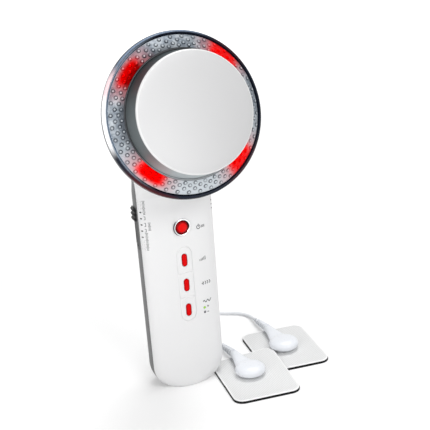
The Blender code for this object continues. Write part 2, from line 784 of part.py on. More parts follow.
def key_outline(low, high, round_top, round_low, grow, steps=6):
    """Outline of one key about the strip's middle line; the strip's two outer ends are round."""
    half = KEY_HALF_WIDTH + grow
    points = []
    if round_top:
        for k in range(steps + 1):
            angle = math.pi * k / steps
            points.append((half * math.cos(angle), high - KEY_HALF_WIDTH + half * math.sin(angle)))
    else:
        points += [(half, high), (-half, high)]
    if round_low:
        for k in range(steps + 1):
            angle = math.pi * (1 + k / steps)
            points.append((half * math.cos(angle), low + KEY_HALF_WIDTH + half * math.sin(angle)))
    else:
        points += [(-half, low), (half, low)]
    return points


def make_keys(seam):
    inner = FACE_DEPTH - CASE_WALL
    top = FACE_DEPTH + KEY_PROUD
    lip_high = inner - GAP
    lip_low = lip_high - BUTTON_FLANGE_THICK
    last = len(KEY_NAMES) - 1
    for index, (name, height) in enumerate(zip(KEY_NAMES, KEY_HEIGHTS)):
        low, high = key_bounds()[index]
        at = forward(0, height, seam, "key_axis_" + name)
        body = key_outline(low - height, high - height, index == 0, index == last, 0)
        lip = key_outline(low - height, high - height, index == 0, index == last, KEY_LIP)
        bm = bmesh.new()
        add_prism(bm, body, lip_low + BUTTON_FLANGE_THICK / 2, top)
        cap = piece("key_cap_" + name, bm, ((0.88, 0.88, 0.89), 0.3), at)
        bm = bmesh.new()
        add_prism(bm, lip, lip_low, lip_high)
        combine(cap, tool("key_lip_" + name, bm, at), "UNION")
        bm = bmesh.new()
        add_rod(bm, STEM_RADIUS, switch_top() - STEM_SEAT, lip_high)
        combine(cap, tool("key_stem_" + name, bm, at), "UNION")
        pocket = bmesh.new()
        wide = INSERT_HALF_WIDTH + GAP
        recess = rounded_outline(wide, INSERT_HALF_HEIGHT + GAP, wide, 5)
        floor = top - INSERT_DEPTH - GAP
        add_prism(pocket, recess, floor, top + OVERRUN)
        combine(cap, tool("key_recess_" + name, pocket, at), "DIFFERENCE")
        bm = bmesh.new()
        pill = rounded_outline(INSERT_HALF_WIDTH, INSERT_HALF_HEIGHT, INSERT_HALF_WIDTH, 5)
        add_prism(bm, pill, floor + GAP, top + INSERT_PROUD)
        piece("key_insert_" + name, bm, ((0.75, 0.01, 0.02), 0.25), at)


def make_switch_mat(seam):
    """A strip on the board with a raised dome, hollow from its top, under the button and each key."""
    low = GAP - BOARD_FRONT
    top = switch_top()
    heights = sorted((POWER_HEIGHT, *KEY_HEIGHTS))
    outline = [(-low, heights[-1] + SWITCH_HALF), (-low, heights[0] - SWITCH_HALF)]
    for height in heights:
        outline += [(-low - MAT_THICK, height - SWITCH_HALF), (-top, height - SWITCH_HALF)]
        outline += [(-top, height + SWITCH_HALF), (-low - MAT_THICK, height + SWITCH_HALF)]
    del outline[2]
    del outline[-1]
    bm = bmesh.new()
    sideways = Matrix(((0, 0, 1, 0), (1, 0, 0, 0), (0, 1, 0, 0), (0, 0, 0, 1)))
    add_prism(bm, outline, -SWITCH_HALF, SWITCH_HALF, sideways)
    mat = piece("switch_mat", bm, ((0.03, 0.03, 0.03), 0.5), seam)
    bores = bmesh.new()
    for height in heights:
        travel = POWER_TRAVEL if height == POWER_HEIGHT else KEY_TRAVEL
        floor = switch_top() - STEM_SEAT - travel - GAP
        add_rod(bores, SWITCH_BORE, floor, switch_top() + OVERRUN, facing(0, height))
    combine(mat, tool("mat_bores", bores, seam), "DIFFERENCE")


def make_lights(seam):
    looks = (((0.35, 0.6, 0.05), 0.2), ((0.1, 0.1, 0.11), 0.3))
    for name, height, look in zip(LIGHT_NAMES, LIGHT_HEIGHTS, looks):
        at = forward(LIGHT_X, height, seam, name + "_axis")
        bm = bmesh.new()
        add_rod(bm, LIGHT_RADIUS, GAP - BOARD_FRONT, face_depth_at(LIGHT_X, height) + LIGHT_PROUD)
        piece(name, bm, look, at)


# Side sliders

def slider_place(slider):
    """Where a slider's knob rests on the back shell, and the turn that faces it outwards."""
    full = handle_half_width(slider["rest"] - slider["travel"] / 2)
    x = full * superellipse_side(SLIDE_DEPTH / BACK_DEPTH, BACK_POWER)
    slope_x = (x / full) ** (BACK_POWER - 1) / full
    slope_y = (SLIDE_DEPTH / BACK_DEPTH) ** (BACK_POWER - 1) / BACK_DEPTH
    lean = math.atan2(slope_y, slope_x)
    turn = math.pi - lean if slider["side"] < 0 else lean
    return Vector((slider["side"] * x, SLIDE_DEPTH, slider["rest"])), turn


def slider_spans(slider):
    """Ends of the knob's slot and of its track, above and below the knob's rest."""
    slot_high = slider["neck_half"] + GAP
    slot_low = -slider["travel"] - slider["neck_half"] - GAP
    return slot_low, slot_high, slot_low - TRACK_END, slot_high + TRACK_END


def make_slider(seam, slider):
    """A knob in an upright slot on one side of the back shell, with its track and switch."""
    label = slider["label"]
    knob_half = slider["knob_half"]
    neck_half = slider["neck_half"]
    place, turn = slider_place(slider)
    at = empty(label + "_slide_axis", place, (0, 0, turn), seam)
    slot_low, slot_high, track_low, track_high = slider_spans(slider)

    body_front = -CASE_WALL - SLIDE_BODY_SINK
    bm = bmesh.new()
    low = (body_front - SLIDE_BODY_DEPTH, -SLIDE_BODY_HALF_WIDTH, track_low)
    add_box(bm, low, (body_front, SLIDE_BODY_HALF_WIDTH, track_high))
    body = piece(label + "_switch", bm, ((0.03, 0.03, 0.035), 0.5), at)
    bm = bmesh.new()
    low = (body_front - CASE_WALL, -TRACK_HALF_WIDTH, track_low + GAP)
    add_box(bm, low, (-TRACK_SINK, TRACK_HALF_WIDTH, track_high - GAP))
    combine(body, tool(label + "_track", bm, at), "UNION")
    slot = bmesh.new()
    low = (body_front - SLIDE_CHANNEL, -SLOT_HALF_WIDTH, slot_low)
    add_box(slot, low, (OVERRUN, SLOT_HALF_WIDTH, slot_high))
    combine(body, tool(label + "_slot", slot, at), "DIFFERENCE")

    bm = bmesh.new()
    pitch = 2 * knob_half / RIDGES
    base = KNOB_PROUD
    outline = [(GAP, -knob_half), (GAP, knob_half), (base, knob_half)]
    for ridge in range(RIDGES):
        top = knob_half - pitch * ridge
        crest = base + RIDGE_PROUD
        start = top - pitch * (1 - RIDGE_SHARE) / 2
        stop = start - pitch * RIDGE_SHARE
        outline += [(base, start), (crest, start - pitch * RIDGE_SHARE / 4)]
        outline += [(crest, stop + pitch * RIDGE_SHARE / 4), (base, stop)]
    outline.append((base, -knob_half))
    upright = Matrix.Rotation(math.pi / 2, 4, "X")
    add_prism(bm, outline, -KNOB_HALF_WIDTH, KNOB_HALF_WIDTH, upright)
    knob = piece(label + "_knob", bm, ((0.02, 0.02, 0.025), 0.4), at)
    neck = bmesh.new()
    add_box(neck, (-NECK_REACH, -NECK_HALF_WIDTH, -neck_half), (KNOB_PROUD / 2 + GAP, NECK_HALF_WIDTH, neck_half))
    combine(knob, tool(label + "_neck", neck, at), "UNION")


# Electronics in the handle

def make_board(seam):
    bm = bmesh.new()
    back = BOARD_FRONT + BOARD_THICK
    add_box(bm, (-BOARD_HALF_WIDTH, BOARD_FRONT, BOARD_LOW), (BOARD_HALF_WIDTH, back, BOARD_HIGH))
    board = piece("main_board", bm, ((0.02, 0.16, 0.07), 0.5), seam)
    holes = bmesh.new()
    for _, x, height in BOARD_POSTS:
        add_rod(holes, SCREW_RADIUS + GAP, BOARD_FRONT - OVERRUN, back + OVERRUN, along_y(x, height))
    combine(board, tool("board_holes", holes, seam), "DIFFERENCE")
    for name, x, height in BOARD_POSTS:
        tip = BOARD_FRONT - BOARD_SCREW_REACH
        make_screw("board_screw_" + name, tip, back + GAP, seam, along_y(x, height))


# Components on the back of the board: half sizes across and up, and how far they stand off it
CORE_SHARE = 0.7830
CORE_HEIGHT = HANDLE_TOP * CORE_SHARE
CORE_HALF_WIDTH = 0.0070
CORE_HALF_TALL = 0.0065
CORE_DEEP = 0.0100
CORE_WINDOW_HALF = 0.0052
CORE_LIMB_HALF = 0.0022
CORE_CAP = 0.0018
WINDING_WALL = 0.0022
SINK_SHARE = 0.6038
SINK_HEIGHT = HANDLE_TOP * SINK_SHARE
SINK_HALF_WIDTH = 0.0050
SINK_HALF_TALL = 0.0060
SINK_BASE = 0.0014
SINK_DEEP = 0.0070
SINK_FINS = 5
FIN_SHARE = 0.45
DRIVER_HALF_WIDTH = 0.0045
DRIVER_HALF_TALL = 0.0050
DRIVER_DEEP = 0.0022
CAPACITOR_RADIUS = 0.0030
CAPACITOR_LONG = 0.0095
CAPACITOR_SHARES = (("storage_capacitor", -0.4255, 0.4245), ("output_capacitor", -0.5319, 0.9292))
CAPACITORS = tuple((name, BOARD_HALF_WIDTH * x, HANDLE_TOP * z) for name, x, z in CAPACITOR_SHARES)
CHIP_SHARES = (0.4255, 0.4717)
CHIP_X, CHIP_HEIGHT = BOARD_HALF_WIDTH * CHIP_SHARES[0], HANDLE_TOP * CHIP_SHARES[1]
CHIP_HALF = 0.0035
CHIP_DEEP = 0.0014


def make_components(seam):
    start = BOARD_FRONT + BOARD_THICK + GAP
    bm = bmesh.new()
    low = (-CORE_HALF_WIDTH, start, CORE_HEIGHT - CORE_HALF_TALL)
    high = (CORE_HALF_WIDTH, start + CORE_DEEP, CORE_HEIGHT + CORE_HALF_TALL)
    add_box(bm, low, high)
    core = piece("transformer_core", bm, ((0.06, 0.06, 0.065), 0.6), seam)
    window = bmesh.new()
    for side in (-1, 1):
        edges = sorted((side * CORE_LIMB_HALF, side * CORE_WINDOW_HALF))
        low = (edges[0], start + CORE_CAP, CORE_HEIGHT - CORE_HALF_TALL - OVERRUN)
        high = (edges[1], start + CORE_DEEP - CORE_CAP, CORE_HEIGHT + CORE_HALF_TALL + OVERRUN)
        add_box(window, low, high)
    combine(core, tool("core_windows", window, seam), "DIFFERENCE")
    bm = bmesh.new()
    reach = CORE_LIMB_HALF + GAP + WINDING_WALL
    low_y = start + CORE_CAP + GAP
    high_y = start + CORE_DEEP - CORE_CAP - GAP
    tall = CORE_HALF_TALL + WINDING_WALL + GAP
    add_box(bm, (-reach, low_y, CORE_HEIGHT - tall), (reach, high_y, CORE_HEIGHT + tall))
    winding = piece("transformer_winding", bm, ((0.55, 0.22, 0.06), 0.4, 0.6), seam)
    bore = bmesh.new()
    limb = CORE_LIMB_HALF + GAP
    low = (-limb, low_y - OVERRUN, CORE_HEIGHT - CORE_HALF_TALL - GAP)
    add_box(bore, low, (limb, high_y + OVERRUN, CORE_HEIGHT + CORE_HALF_TALL + GAP))
    combine(winding, tool("winding_bore", bore, seam), "DIFFERENCE")

    bm = bmesh.new()
    low = (-DRIVER_HALF_WIDTH, start, SINK_HEIGHT - DRIVER_HALF_TALL)
    add_box(bm, low, (DRIVER_HALF_WIDTH, start + DRIVER_DEEP, SINK_HEIGHT + DRIVER_HALF_TALL))
    piece("driver_transistor", bm, ((0.03, 0.03, 0.03), 0.5), seam)
    base = start + DRIVER_DEEP + GAP
    bm = bmesh.new()
    outline = [(-SINK_HALF_WIDTH, base), (SINK_HALF_WIDTH, base)]
    tip = base + SINK_DEEP
    web = base + SINK_BASE
    fin = 2 * SINK_HALF_WIDTH / (SINK_FINS + (SINK_FINS - 1) * (1 - FIN_SHARE) / FIN_SHARE)
    pitch = fin / FIN_SHARE
    for index in range(SINK_FINS):
        right = SINK_HALF_WIDTH - index * pitch
        outline += [(right, web), (right, tip), (right - fin, tip), (right - fin, web)]
    add_prism(bm, outline, SINK_HEIGHT - SINK_HALF_TALL, SINK_HEIGHT + SINK_HALF_TALL)
    piece("heat_sink", bm, ((0.6, 0.6, 0.62), 0.35, 1.0), seam)

    for name, x, height in CAPACITORS:
        bm = bmesh.new()
        add_rod(bm, CAPACITOR_RADIUS, start, start + CAPACITOR_LONG, along_y(x, height))
        piece(name, bm, ((0.05, 0.07, 0.2), 0.35), seam)
    bm = bmesh.new()
    low = (CHIP_X - CHIP_HALF, start, CHIP_HEIGHT - CHIP_HALF)
    add_box(bm, low, (CHIP_X + CHIP_HALF, start + CHIP_DEEP, CHIP_HEIGHT + CHIP_HALF))
    piece("control_chip", bm, ((0.02, 0.02, 0.02), 0.5), seam)


def make_socket(seam, name, height, half, nose, bore, deep, pin):
    """A jack on the board whose round nose fills a hole in the back shell."""
    start = BOARD_FRONT + BOARD_THICK + GAP
    shoulder = BACK_DEPTH - CASE_WALL - GAP
    end = BACK_DEPTH + SOCKET_PROUD
    bm = bmesh.new()
    add_box(bm, (-half, start, height - half), (half, shoulder, height + half))
    jack = piece(name, bm, ((0.02, 0.02, 0.02), 0.4), seam)
    snout = bmesh.new()
    add_rod(snout, nose, shoulder - SOCKET_SHOULDER, end, along_y(0, height), SOCKET_SEGMENTS)
    combine(jack, tool(name + "_nose", snout, seam), "UNION")
    cavity = bmesh.new()
    if pin:
        profile = ((pin, end - deep), (bore, end - deep), (bore, end + OVERRUN), (pin, end + OVERRUN))
        add_turned(cavity, profile, SOCKET_SEGMENTS, along_y(0, height))
    else:
        add_rod(cavity, bore, end - deep, end + OVERRUN, along_y(0, height), SOCKET_SEGMENTS)
    combine(jack, tool(name + "_cavity", cavity, seam), "DIFFERENCE")


# Head

def arc_block(bm, inner, outer, low, high, centre_angle, half_arc, steps=5):
    """A block bent round the ring's axis."""
    outline = []
    for radius, order in ((outer, range(steps + 1)), (inner, range(steps, -1, -1))):
        for k in order:
            angle = centre_angle + half_arc * (2 * k / steps - 1)
            outline.append((radius * math.cos(angle), radius * math.sin(angle)))
    add_prism(bm, outline, low, high)


def lens_outline():
    """The lens from the foot of its outer flank, over the rim to its bore and back inside."""
    outer = [
        (CARRIER_RIM + GAP, -MOUTH_BEHIND + GAP),
        (LENS_FOOT_RADIUS, -MOUTH_BEHIND + GAP),
        (LENS_FLANK_RADIUS, -LENS_FLANK_LOW),
        (RING_RADIUS, 0),
        (LENS_SHOULDER_RADIUS, LENS_SHOULDER_HIGH),
        (LENS_FIELD_RADIUS, LENS_FIELD_HIGH),
        (LENS_MID_RADIUS, LENS_MID_HIGH),
        (LENS_BORE, LENS_INNER_HIGH),
    ]
    inner = [
        (LENS_BORE, LENS_INNER_HIGH - LENS_THICK),
        (LENS_MID_RADIUS - LENS_THICK / 3, LENS_MID_HIGH - LENS_THICK),
        (LENS_FIELD_RADIUS - LENS_THICK * 2 / 3, LENS_FIELD_HIGH - LENS_THICK),
        (LENS_SHOULDER_RADIUS - LENS_THICK, LENS_SHOULDER_HIGH - LENS_THICK),
        (LENS_FLANK_RADIUS - LENS_THICK * 3 / 2, -LENS_FLANK_LOW),
    ]
    return outer + inner


def make_head(ring):
    bm = bmesh.new()
    add_turned(bm, lens_outline(), RING_SEGMENTS)
    piece("lens_ring", bm, ((0.25, 0.3, 0.36), 0.1), ring)

    bm = bmesh.new()
    top = DISC_FACE
    inner_top = top - DISC_WALL
    profile = [
        (0, inner_top),
        (DISC_FACE_RADIUS - DISC_WALL - DISC_EDGE / 2, inner_top),
        (DISC_FACE_RADIUS - DISC_WALL, inner_top - DISC_EDGE / 2),
        (DISC_BASE_RADIUS - DISC_WALL, FLANGE_LOW),
        (FLANGE_RADIUS, FLANGE_LOW),
        (FLANGE_RADIUS, FLANGE_HIGH),
        (DISC_BASE_RADIUS, FLANGE_HIGH),
        (DISC_BASE_RADIUS, DISC_BASE),
    ]
    for step in range(3):
        angle = math.pi / 2 * step / 2
        radius = DISC_FACE_RADIUS - DISC_EDGE * (1 - math.cos(angle))
        profile.append((radius, top - DISC_EDGE * (1 - math.sin(angle))))
    profile.append((0, top))
    add_turned(bm, profile, RING_SEGMENTS, closed=False)
    piece("treatment_disc", bm, ((0.82, 0.82, 0.84), 0.3, 0.7), ring)

    bm = bmesh.new()
    seal_in = DISC_BASE_RADIUS + GAP
    seal_low = FLANGE_HIGH + GAP
    profile = (
        (seal_in, seal_low),
        (FLANGE_RADIUS, seal_low),
        (FLANGE_RADIUS, seal_low + SEAL_FOOT),
        (seal_in + SEAL_THICK, seal_low + SEAL_FOOT),
        (seal_in + SEAL_THICK, LENS_INNER_HIGH),
        (seal_in, LENS_INNER_HIGH),
    )
    add_turned(bm, profile, INNER_SEGMENTS)
    piece("disc_seal", bm, ((0.01, 0.01, 0.012), 0.6), ring)

    carrier_low = -MOUTH_BEHIND + GAP
    carrier_high = carrier_low + CARRIER_THICK
    bm = bmesh.new()
    wall_out = CARRIER_WALL_RADIUS + CARRIER_WALL
    profile = (
        (CARRIER_WALL_RADIUS, carrier_low),
        (CARRIER_RIM, carrier_low),
        (CARRIER_RIM, carrier_high),
        (wall_out, carrier_high),
        (wall_out, FLANGE_LOW - GAP),
        (CARRIER_WALL_RADIUS, FLANGE_LOW - GAP),
    )
    add_turned(bm, profile, INNER_SEGMENTS)
    carrier = piece("disc_carrier", bm, ((0.75, 0.75, 0.76), 0.5), ring)
    holes = bmesh.new()
    for _, angle in RING_SCREWS:
        spot = Matrix.Translation(ring_point(angle, RING_SCREW_RADIUS))
        add_rod(holes, RING_SCREW_SHANK + GAP, carrier_low - OVERRUN, carrier_high + OVERRUN, spot)
    combine(carrier, tool("carrier_holes", holes, ring), "DIFFERENCE")

    seat = carrier_high + GAP
    tip = -MOUTH_BEHIND - RING_SCREW_REACH
    head_top = seat + RING_SCREW_HEAD_TALL
    for name, angle in RING_SCREWS:
        profile = (
            (0, tip),
            (RING_SCREW_SHANK, tip),
            (RING_SCREW_SHANK, seat),
            (RING_SCREW_HEAD, seat),
            (RING_SCREW_HEAD, head_top),
            (0, head_top),
        )
        spot = Matrix.Translation(ring_point(angle, RING_SCREW_RADIUS))
        bm = bmesh.new()
        add_turned(bm, profile, SMALL_SEGMENTS // 2, spot, closed=False)
        piece("ring_screw_" + name, bm, ((0.55, 0.55, 0.56), 0.3, 1.0), ring)

    board_low = carrier_high + GAP
    board_high = board_low + LED_BOARD_THICK
    bm = bmesh.new()
    profile = (
        (LED_BOARD_INNER, board_low),
        (LED_BOARD_OUTER, board_low),
        (LED_BOARD_OUTER, board_high),
        (LED_BOARD_INNER, board_high),
    )
    add_turned(bm, profile, INNER_SEGMENTS)
    board = piece("led_board", bm, ((0.8, 0.8, 0.78), 0.5), ring)
    notches = bmesh.new()
    for _, angle in RING_SCREWS:
        spot = Matrix.Translation(ring_point(angle, RING_SCREW_RADIUS))
        add_rod(notches, RING_SCREW_HEAD + GAP, board_low - OVERRUN, board_high + OVERRUN, spot)
    combine(board, tool("led_board_notches", notches, ring), "DIFFERENCE")
    led_low = board_high + GAP
    for index, angle in enumerate(GLOW_ANGLES):
        bm = bmesh.new()
        inner, outer = LED_MIDDLE - LED_HALF_WIDTH, LED_MIDDLE + LED_HALF_WIDTH
        arc_block(bm, inner, outer, led_low, led_low + LED_TALL, angle, LED_ARC)
        piece(f"red_light_{index + 1}", bm, ((0.7, 0.02, 0.02), 0.2), ring)

    bm = bmesh.new()
    plate_low = REFLECTOR_HIGH - REFLECTOR_WALL
    leg_out = REFLECTOR_INNER + REFLECTOR_WALL
    profile = (
        (REFLECTOR_INNER, carrier_high + GAP),
        (leg_out, carrier_high + GAP),
        (leg_out, plate_low),
        (REFLECTOR_OUTER, plate_low),
        (REFLECTOR_OUTER, REFLECTOR_HIGH),
        (REFLECTOR_INNER, REFLECTOR_HIGH),
    )
    add_turned(bm, profile, INNER_SEGMENTS)
    reflector = piece("reflector_ring", bm, ((0.75, 0.77, 0.8), 0.25, 1.0), ring)
    slots = bmesh.new()
    reach = LED_HALF_WIDTH + SLOT_CLEAR
    for angle in GLOW_ANGLES:
        low, high = plate_low - GAP, REFLECTOR_HIGH + OVERRUN
        arc_block(slots, LED_MIDDLE - reach, LED_MIDDLE + reach, low, high, angle, SLOT_ARC)
    combine(reflector, tool("reflector_slots", slots, ring), "DIFFERENCE")

    bm = bmesh.new()
    piezo_high = DISC_FACE - DISC_WALL - GAP
    add_rod(bm, PIEZO_RADIUS, piezo_high - PIEZO_THICK, piezo_high, segments=RING_SEGMENTS // 2)
    piece("piezo_element", bm, ((0.72, 0.7, 0.62), 0.4), ring)


# Cords

def smooth_route(points, spacing):
    """Points at an even spacing on a Catmull-Rom curve through the route's own points."""
    points = [Vector(point) for point in points]
    ends = [points[0] * 2 - points[1], *points, points[-1] * 2 - points[-2]]
    fine = []
    for a, b, c, d in zip(ends, ends[1:], ends[2:], ends[3:]):
        for step in range(40):
            t = step / 40
            line = 2 * b + (c - a) * t + (2 * a - 5 * b + 4 * c - d) * t**2
            fine.append((line + (3 * b - a - 3 * c + d) * t**3) / 2)
    fine.append(points[-1])
    along = [0.0]
    for a, b in zip(fine, fine[1:]):
        along.append(along[-1] + (b - a).length)
    count = max(round(along[-1] / spacing), 2)
    made, index = [], 0
    for step in range(count + 1):
        target = along[-1] * step / count
        while index < len(fine) - 2 and along[index + 1] < target:
            index += 1
        share = (target - along[index]) / (along[index + 1] - along[index])
        made.append(fine[index].lerp(fine[index + 1], min(max(share, 0), 1)))
    return made


def cord(name, points, look, sides=2):
    curve = bpy.data.curves.new(name, "CURVE")
    curve.dimensions = "3D"
    curve.bevel_depth = CORD / 2
    curve.bevel_resolution = sides
    curve.use_fill_caps = True
    spline = curve.splines.new("POLY")
    spline.points.add(len(points) - 1)
    for spot, point in zip(spline.points, points):
        spot.co = (*point, 1)
    thing = bpy.data.objects.new(name, curve)
    bpy.context.collection.objects.link(thing)
    curve.materials.append(finish(name + "_finish", *look))
    return thing


CORD_LOOK = ((0.78, 0.8, 0.83), 0.35)
CORD_SPACING = CORD * 3
FLOOR_CORD = CORD / 2 + GAP / 3

# The coil behind the machine
COIL_CENTRE = (0.0358, 0.0955)
COIL_MIDDLE_RADIUS = 0.0100
COIL_LAYERS = 4
COIL_TURNS_A_LAYER = 3.0
COIL_CLEAR = 0.0005
COIL_STEP = CORD + COIL_CLEAR
COIL_POINTS = 24
COIL_START_ANGLE = math.radians(156.7)
COIL_STRAIGHT = CORD


def coil_points():
    """Four layers that spiral in, out, in and out again, clockwise from above, with straight ends."""
    layer_turn = math.tau * COIL_TURNS_A_LAYER
    steps = round(COIL_LAYERS * COIL_TURNS_A_LAYER * COIL_POINTS)
    outer = COIL_MIDDLE_RADIUS + COIL_STEP * COIL_TURNS_A_LAYER / 2
    points = []
    for k in range(steps + 1):
        turned = math.tau * k / COIL_POINTS
        layer = min(int(turned / layer_turn), COIL_LAYERS - 1)
        within = turned - layer * layer_turn
        inward = within if layer % 2 == 0 else layer_turn - within
        radius = outer - COIL_STEP * inward / math.tau
        height = 0
        for climb in range(1, COIL_LAYERS):
            share = (turned - climb * layer_turn) / math.pi + 1 / 2
            share = min(max(share, 0), 1)
            height += share * share * (3 - 2 * share)
        angle = COIL_START_ANGLE - turned
        x = COIL_CENTRE[0] + radius * math.cos(angle)
        y = COIL_CENTRE[1] + radius * math.sin(angle)
        points.append(Vector((x, y, FLOOR_CORD + COIL_STEP * height)))
    along = Vector((math.sin(COIL_START_ANGLE), -math.cos(COIL_START_ANGLE), 0))
    return [points[0] - along * COIL_STRAIGHT, *points, points[-1] + along * COIL_STRAIGHT]


def coil_gap(points):
    """The least clear distance of the coil to itself, leaving out the half turn next to each point."""
    least = math.inf
    apart = COIL_POINTS // 2
    for i, a in enumerate(points):
        for b in points[i + apart :]:
            least = min(least, (a - b).length)
    return least - CORD


# Routes of the free cords between the pieces that they leave, in metres
PLUG_ROUTE = (
    (0.0005, 0.0410, 0.0308),
    (0.0022, 0.0460, 0.0280),
    (0.0050, 0.0500, 0.0215),
    (0.0080, 0.0532, 0.0130),
    (0.0108, 0.0564, 0.0060),
    (0.0132, 0.0610, 0.0020),
    (0.0144, 0.0670, FLOOR_CORD),
    (0.0149, 0.0740, FLOOR_CORD),
    (0.0163, 0.0830, FLOOR_CORD),
    (0.0189, 0.0914, FLOOR_CORD),
)
TAIL_ROUTE = (
    (0.0264, 0.1083, 0.0072),
    (0.0302, 0.1122, 0.0056),
    (0.0342, 0.1146, 0.0038),
    (0.0375, 0.1178, 0.0024),
)
NEAR_ROUTE = (
    (0.0446, 0.1375, 0.0014),
    (0.0440, 0.1417, FLOOR_CORD),
    (0.0400, 0.1440, FLOOR_CORD),
    (0.0352, 0.1412, FLOOR_CORD),
    (0.0308, 0.1340, FLOOR_CORD),
    (0.0272, 0.1250, FLOOR_CORD),
    (0.0240, 0.1165, FLOOR_CORD),
    (0.0206, 0.1080, FLOOR_CORD),
    (0.0172, 0.0995, FLOOR_CORD),
    (0.0135, 0.0900, FLOOR_CORD),
    (0.0100, 0.0800, FLOOR_CORD),
    (0.0070, 0.0705, FLOOR_CORD),
    (0.0052, 0.0620, FLOOR_CORD),
    (0.0064, 0.0548, FLOOR_CORD),
    (0.0115, 0.0485, FLOOR_CORD),
    (0.0190, 0.0430, FLOOR_CORD),
    (0.0248, 0.0378, FLOOR_CORD),
    (0.0278, 0.0330, 0.0012),
    (0.0292, 0.0285, 0.0017),
)
FAR_ROUTE = (
    (0.0478, 0.1362, 0.0014),
    (0.0515, 0.1392, FLOOR_CORD),
    (0.0562, 0.1380, FLOOR_CORD),
    (0.0592, 0.1320, FLOOR_CORD),
    (0.0596, 0.1220, FLOOR_CORD),
    (0.0580, 0.1100, FLOOR_CORD),
    (0.0551, 0.0990, FLOOR_CORD),
    (0.0523, 0.0900, FLOOR_CORD),
    (0.0480, 0.0818, FLOOR_CORD),
    (0.0437, 0.0762, FLOOR_CORD),
    (0.0416, 0.0710, FLOOR_CORD),
    (0.0432, 0.0660, FLOOR_CORD),
    (0.0474, 0.0626, FLOOR_CORD),
    (0.0510, 0.0600, FLOOR_CORD),
    (0.0544, 0.0577, FLOOR_CORD),
    (0.0574, 0.0551, FLOOR_CORD),
    (0.0596, 0.0516, FLOOR_CORD),
    (0.0604, 0.0482, 0.0013),
    (0.0603, 0.0450, 0.0018),
)

# Splitter where the lead divides
SPLITTER_START = (0.0396, 0.1220)
SPLITTER_TURN = math.radians(-23.3)
SPLITTER_LONG = 0.0120
SPLITTER_HALF_START = 0.0019
SPLITTER_HALF_WIDE = 0.0034
SPLITTER_TALL = 0.0040
SPLITTER_ROUND = 0.0008
SPLITTER_SPREAD = 0.0016


def make_plug(seam):
    bm = bmesh.new()
    start = BACK_DEPTH + SOCKET_PROUD + GAP
    end = start + PLUG_LONG
    tip = start - PLUG_PIN_LONG
    profile = (
        (0, tip),
        (PLUG_PIN_RADIUS * 2 / 3, tip),
        (PLUG_PIN_RADIUS, tip + PLUG_PIN_RADIUS / 2),
        (PLUG_PIN_RADIUS, start),
        (PLUG_RADIUS - PLUG_ROUND, start),
        (PLUG_RADIUS, start + PLUG_ROUND),
        (PLUG_RADIUS, end - PLUG_ROUND),
        (PLUG_RADIUS - PLUG_ROUND, end),
        (PLUG_RELIEF_START, end),
        (PLUG_RELIEF_END, end + PLUG_RELIEF_LONG),
        (0, end + PLUG_RELIEF_LONG),
    )
    add_turned(bm, profile, SMALL_SEGMENTS, along_y(0, LEAD_SOCKET_HEIGHT), closed=False)
    piece("lead_plug", bm, ((0.75, 0.77, 0.8), 0.35), seam)


def make_splitter():
    bm = bmesh.new()
    outline = (
        (-SPLITTER_HALF_START, 0),
        (SPLITTER_HALF_START, 0),
        (SPLITTER_HALF_WIDE, SPLITTER_LONG / 2),
        (SPLITTER_HALF_WIDE, SPLITTER_LONG - SPLITTER_ROUND),
        (SPLITTER_HALF_WIDE - SPLITTER_ROUND, SPLITTER_LONG),
        (SPLITTER_ROUND - SPLITTER_HALF_WIDE, SPLITTER_LONG),
        (-SPLITTER_HALF_WIDE, SPLITTER_LONG - SPLITTER_ROUND),
        (-SPLITTER_HALF_WIDE, SPLITTER_LONG / 2),
    )
    add_prism(bm, outline, 0, SPLITTER_TALL)
    place = (*SPLITTER_START, 0)
    splitter = piece("lead_splitter", bm, CORD_LOOK, None, place, (0, 0, SPLITTER_TURN))
    bevel = splitter.modifiers.new("round", "BEVEL")
    bevel.width = SPLITTER_ROUND / 2
    bevel.segments = 1


def exits():
    """Where each cord leaves a piece, and which way."""
    plug_end = SEAM_Y + BACK_DEPTH + SOCKET_PROUD + GAP + PLUG_LONG + PLUG_RELIEF_LONG
    coil = coil_points()
    along = Matrix.Rotation(SPLITTER_TURN, 3, "Z") @ Vector((0, 1, 0))
    across = along.cross(Vector((0, 0, 1)))
    low = Vector((*SPLITTER_START, SPLITTER_TALL / 2))
    high = low + along * SPLITTER_LONG
    found = {
        "plug": (Vector((0, plug_end, LEAD_SOCKET_HEIGHT)), Vector((0, 1, 0))),
        "coil_start": (coil[0], (coil[0] - coil[1]).normalized()),
        "coil_end": (coil[-1], (coil[-1] - coil[-2]).normalized()),
        "splitter": (low, -along),
        "near_branch": (high - across * SPLITTER_SPREAD, along),
        "far_branch": (high + across * SPLITTER_SPREAD, along),
    }
    for name, place, turn in (("near", NEAR_SNAP, NEAR_SNAP_TURN), ("far", FAR_SNAP, FAR_SNAP_TURN)):
        frame = Matrix.Translation((*place, 0)) @ Matrix.Rotation(turn, 4, "Z") @ relief_frame()
        found[name + "_relief"] = (frame @ Vector((0, 0, RELIEF_LONG)), frame.to_3x3() @ Vector((0, 0, 1)))
    return found


def joined(start, route, end):
    """A route's points between two exits, with a short straight run square to each."""
    place, way = start
    points = [place + way * GAP, place + way * (GAP + CORD / 2), *route]
    place, way = end
    return points + [place + way * (GAP + CORD / 2), place + way * GAP]


def make_lead():
    leaving = exits()
    ways = (
        ("plug_cord", "plug", PLUG_ROUTE, "coil_start"),
        ("tail_cord", "coil_end", TAIL_ROUTE, "splitter"),
        ("near_cord", "near_branch", NEAR_ROUTE, "near_relief"),
        ("far_cord", "far_branch", FAR_ROUTE, "far_relief"),
    )
    for name, start, route, end in ways:
        cord(name, smooth_route(joined(leaving[start], route, leaving[end]), CORD_SPACING), CORD_LOOK)
    points = coil_points()
    cord("lead_coil", points, CORD_LOOK, sides=1)
    print(f"coil: least gap to itself {coil_gap(points) * 1000:.2f} mm")


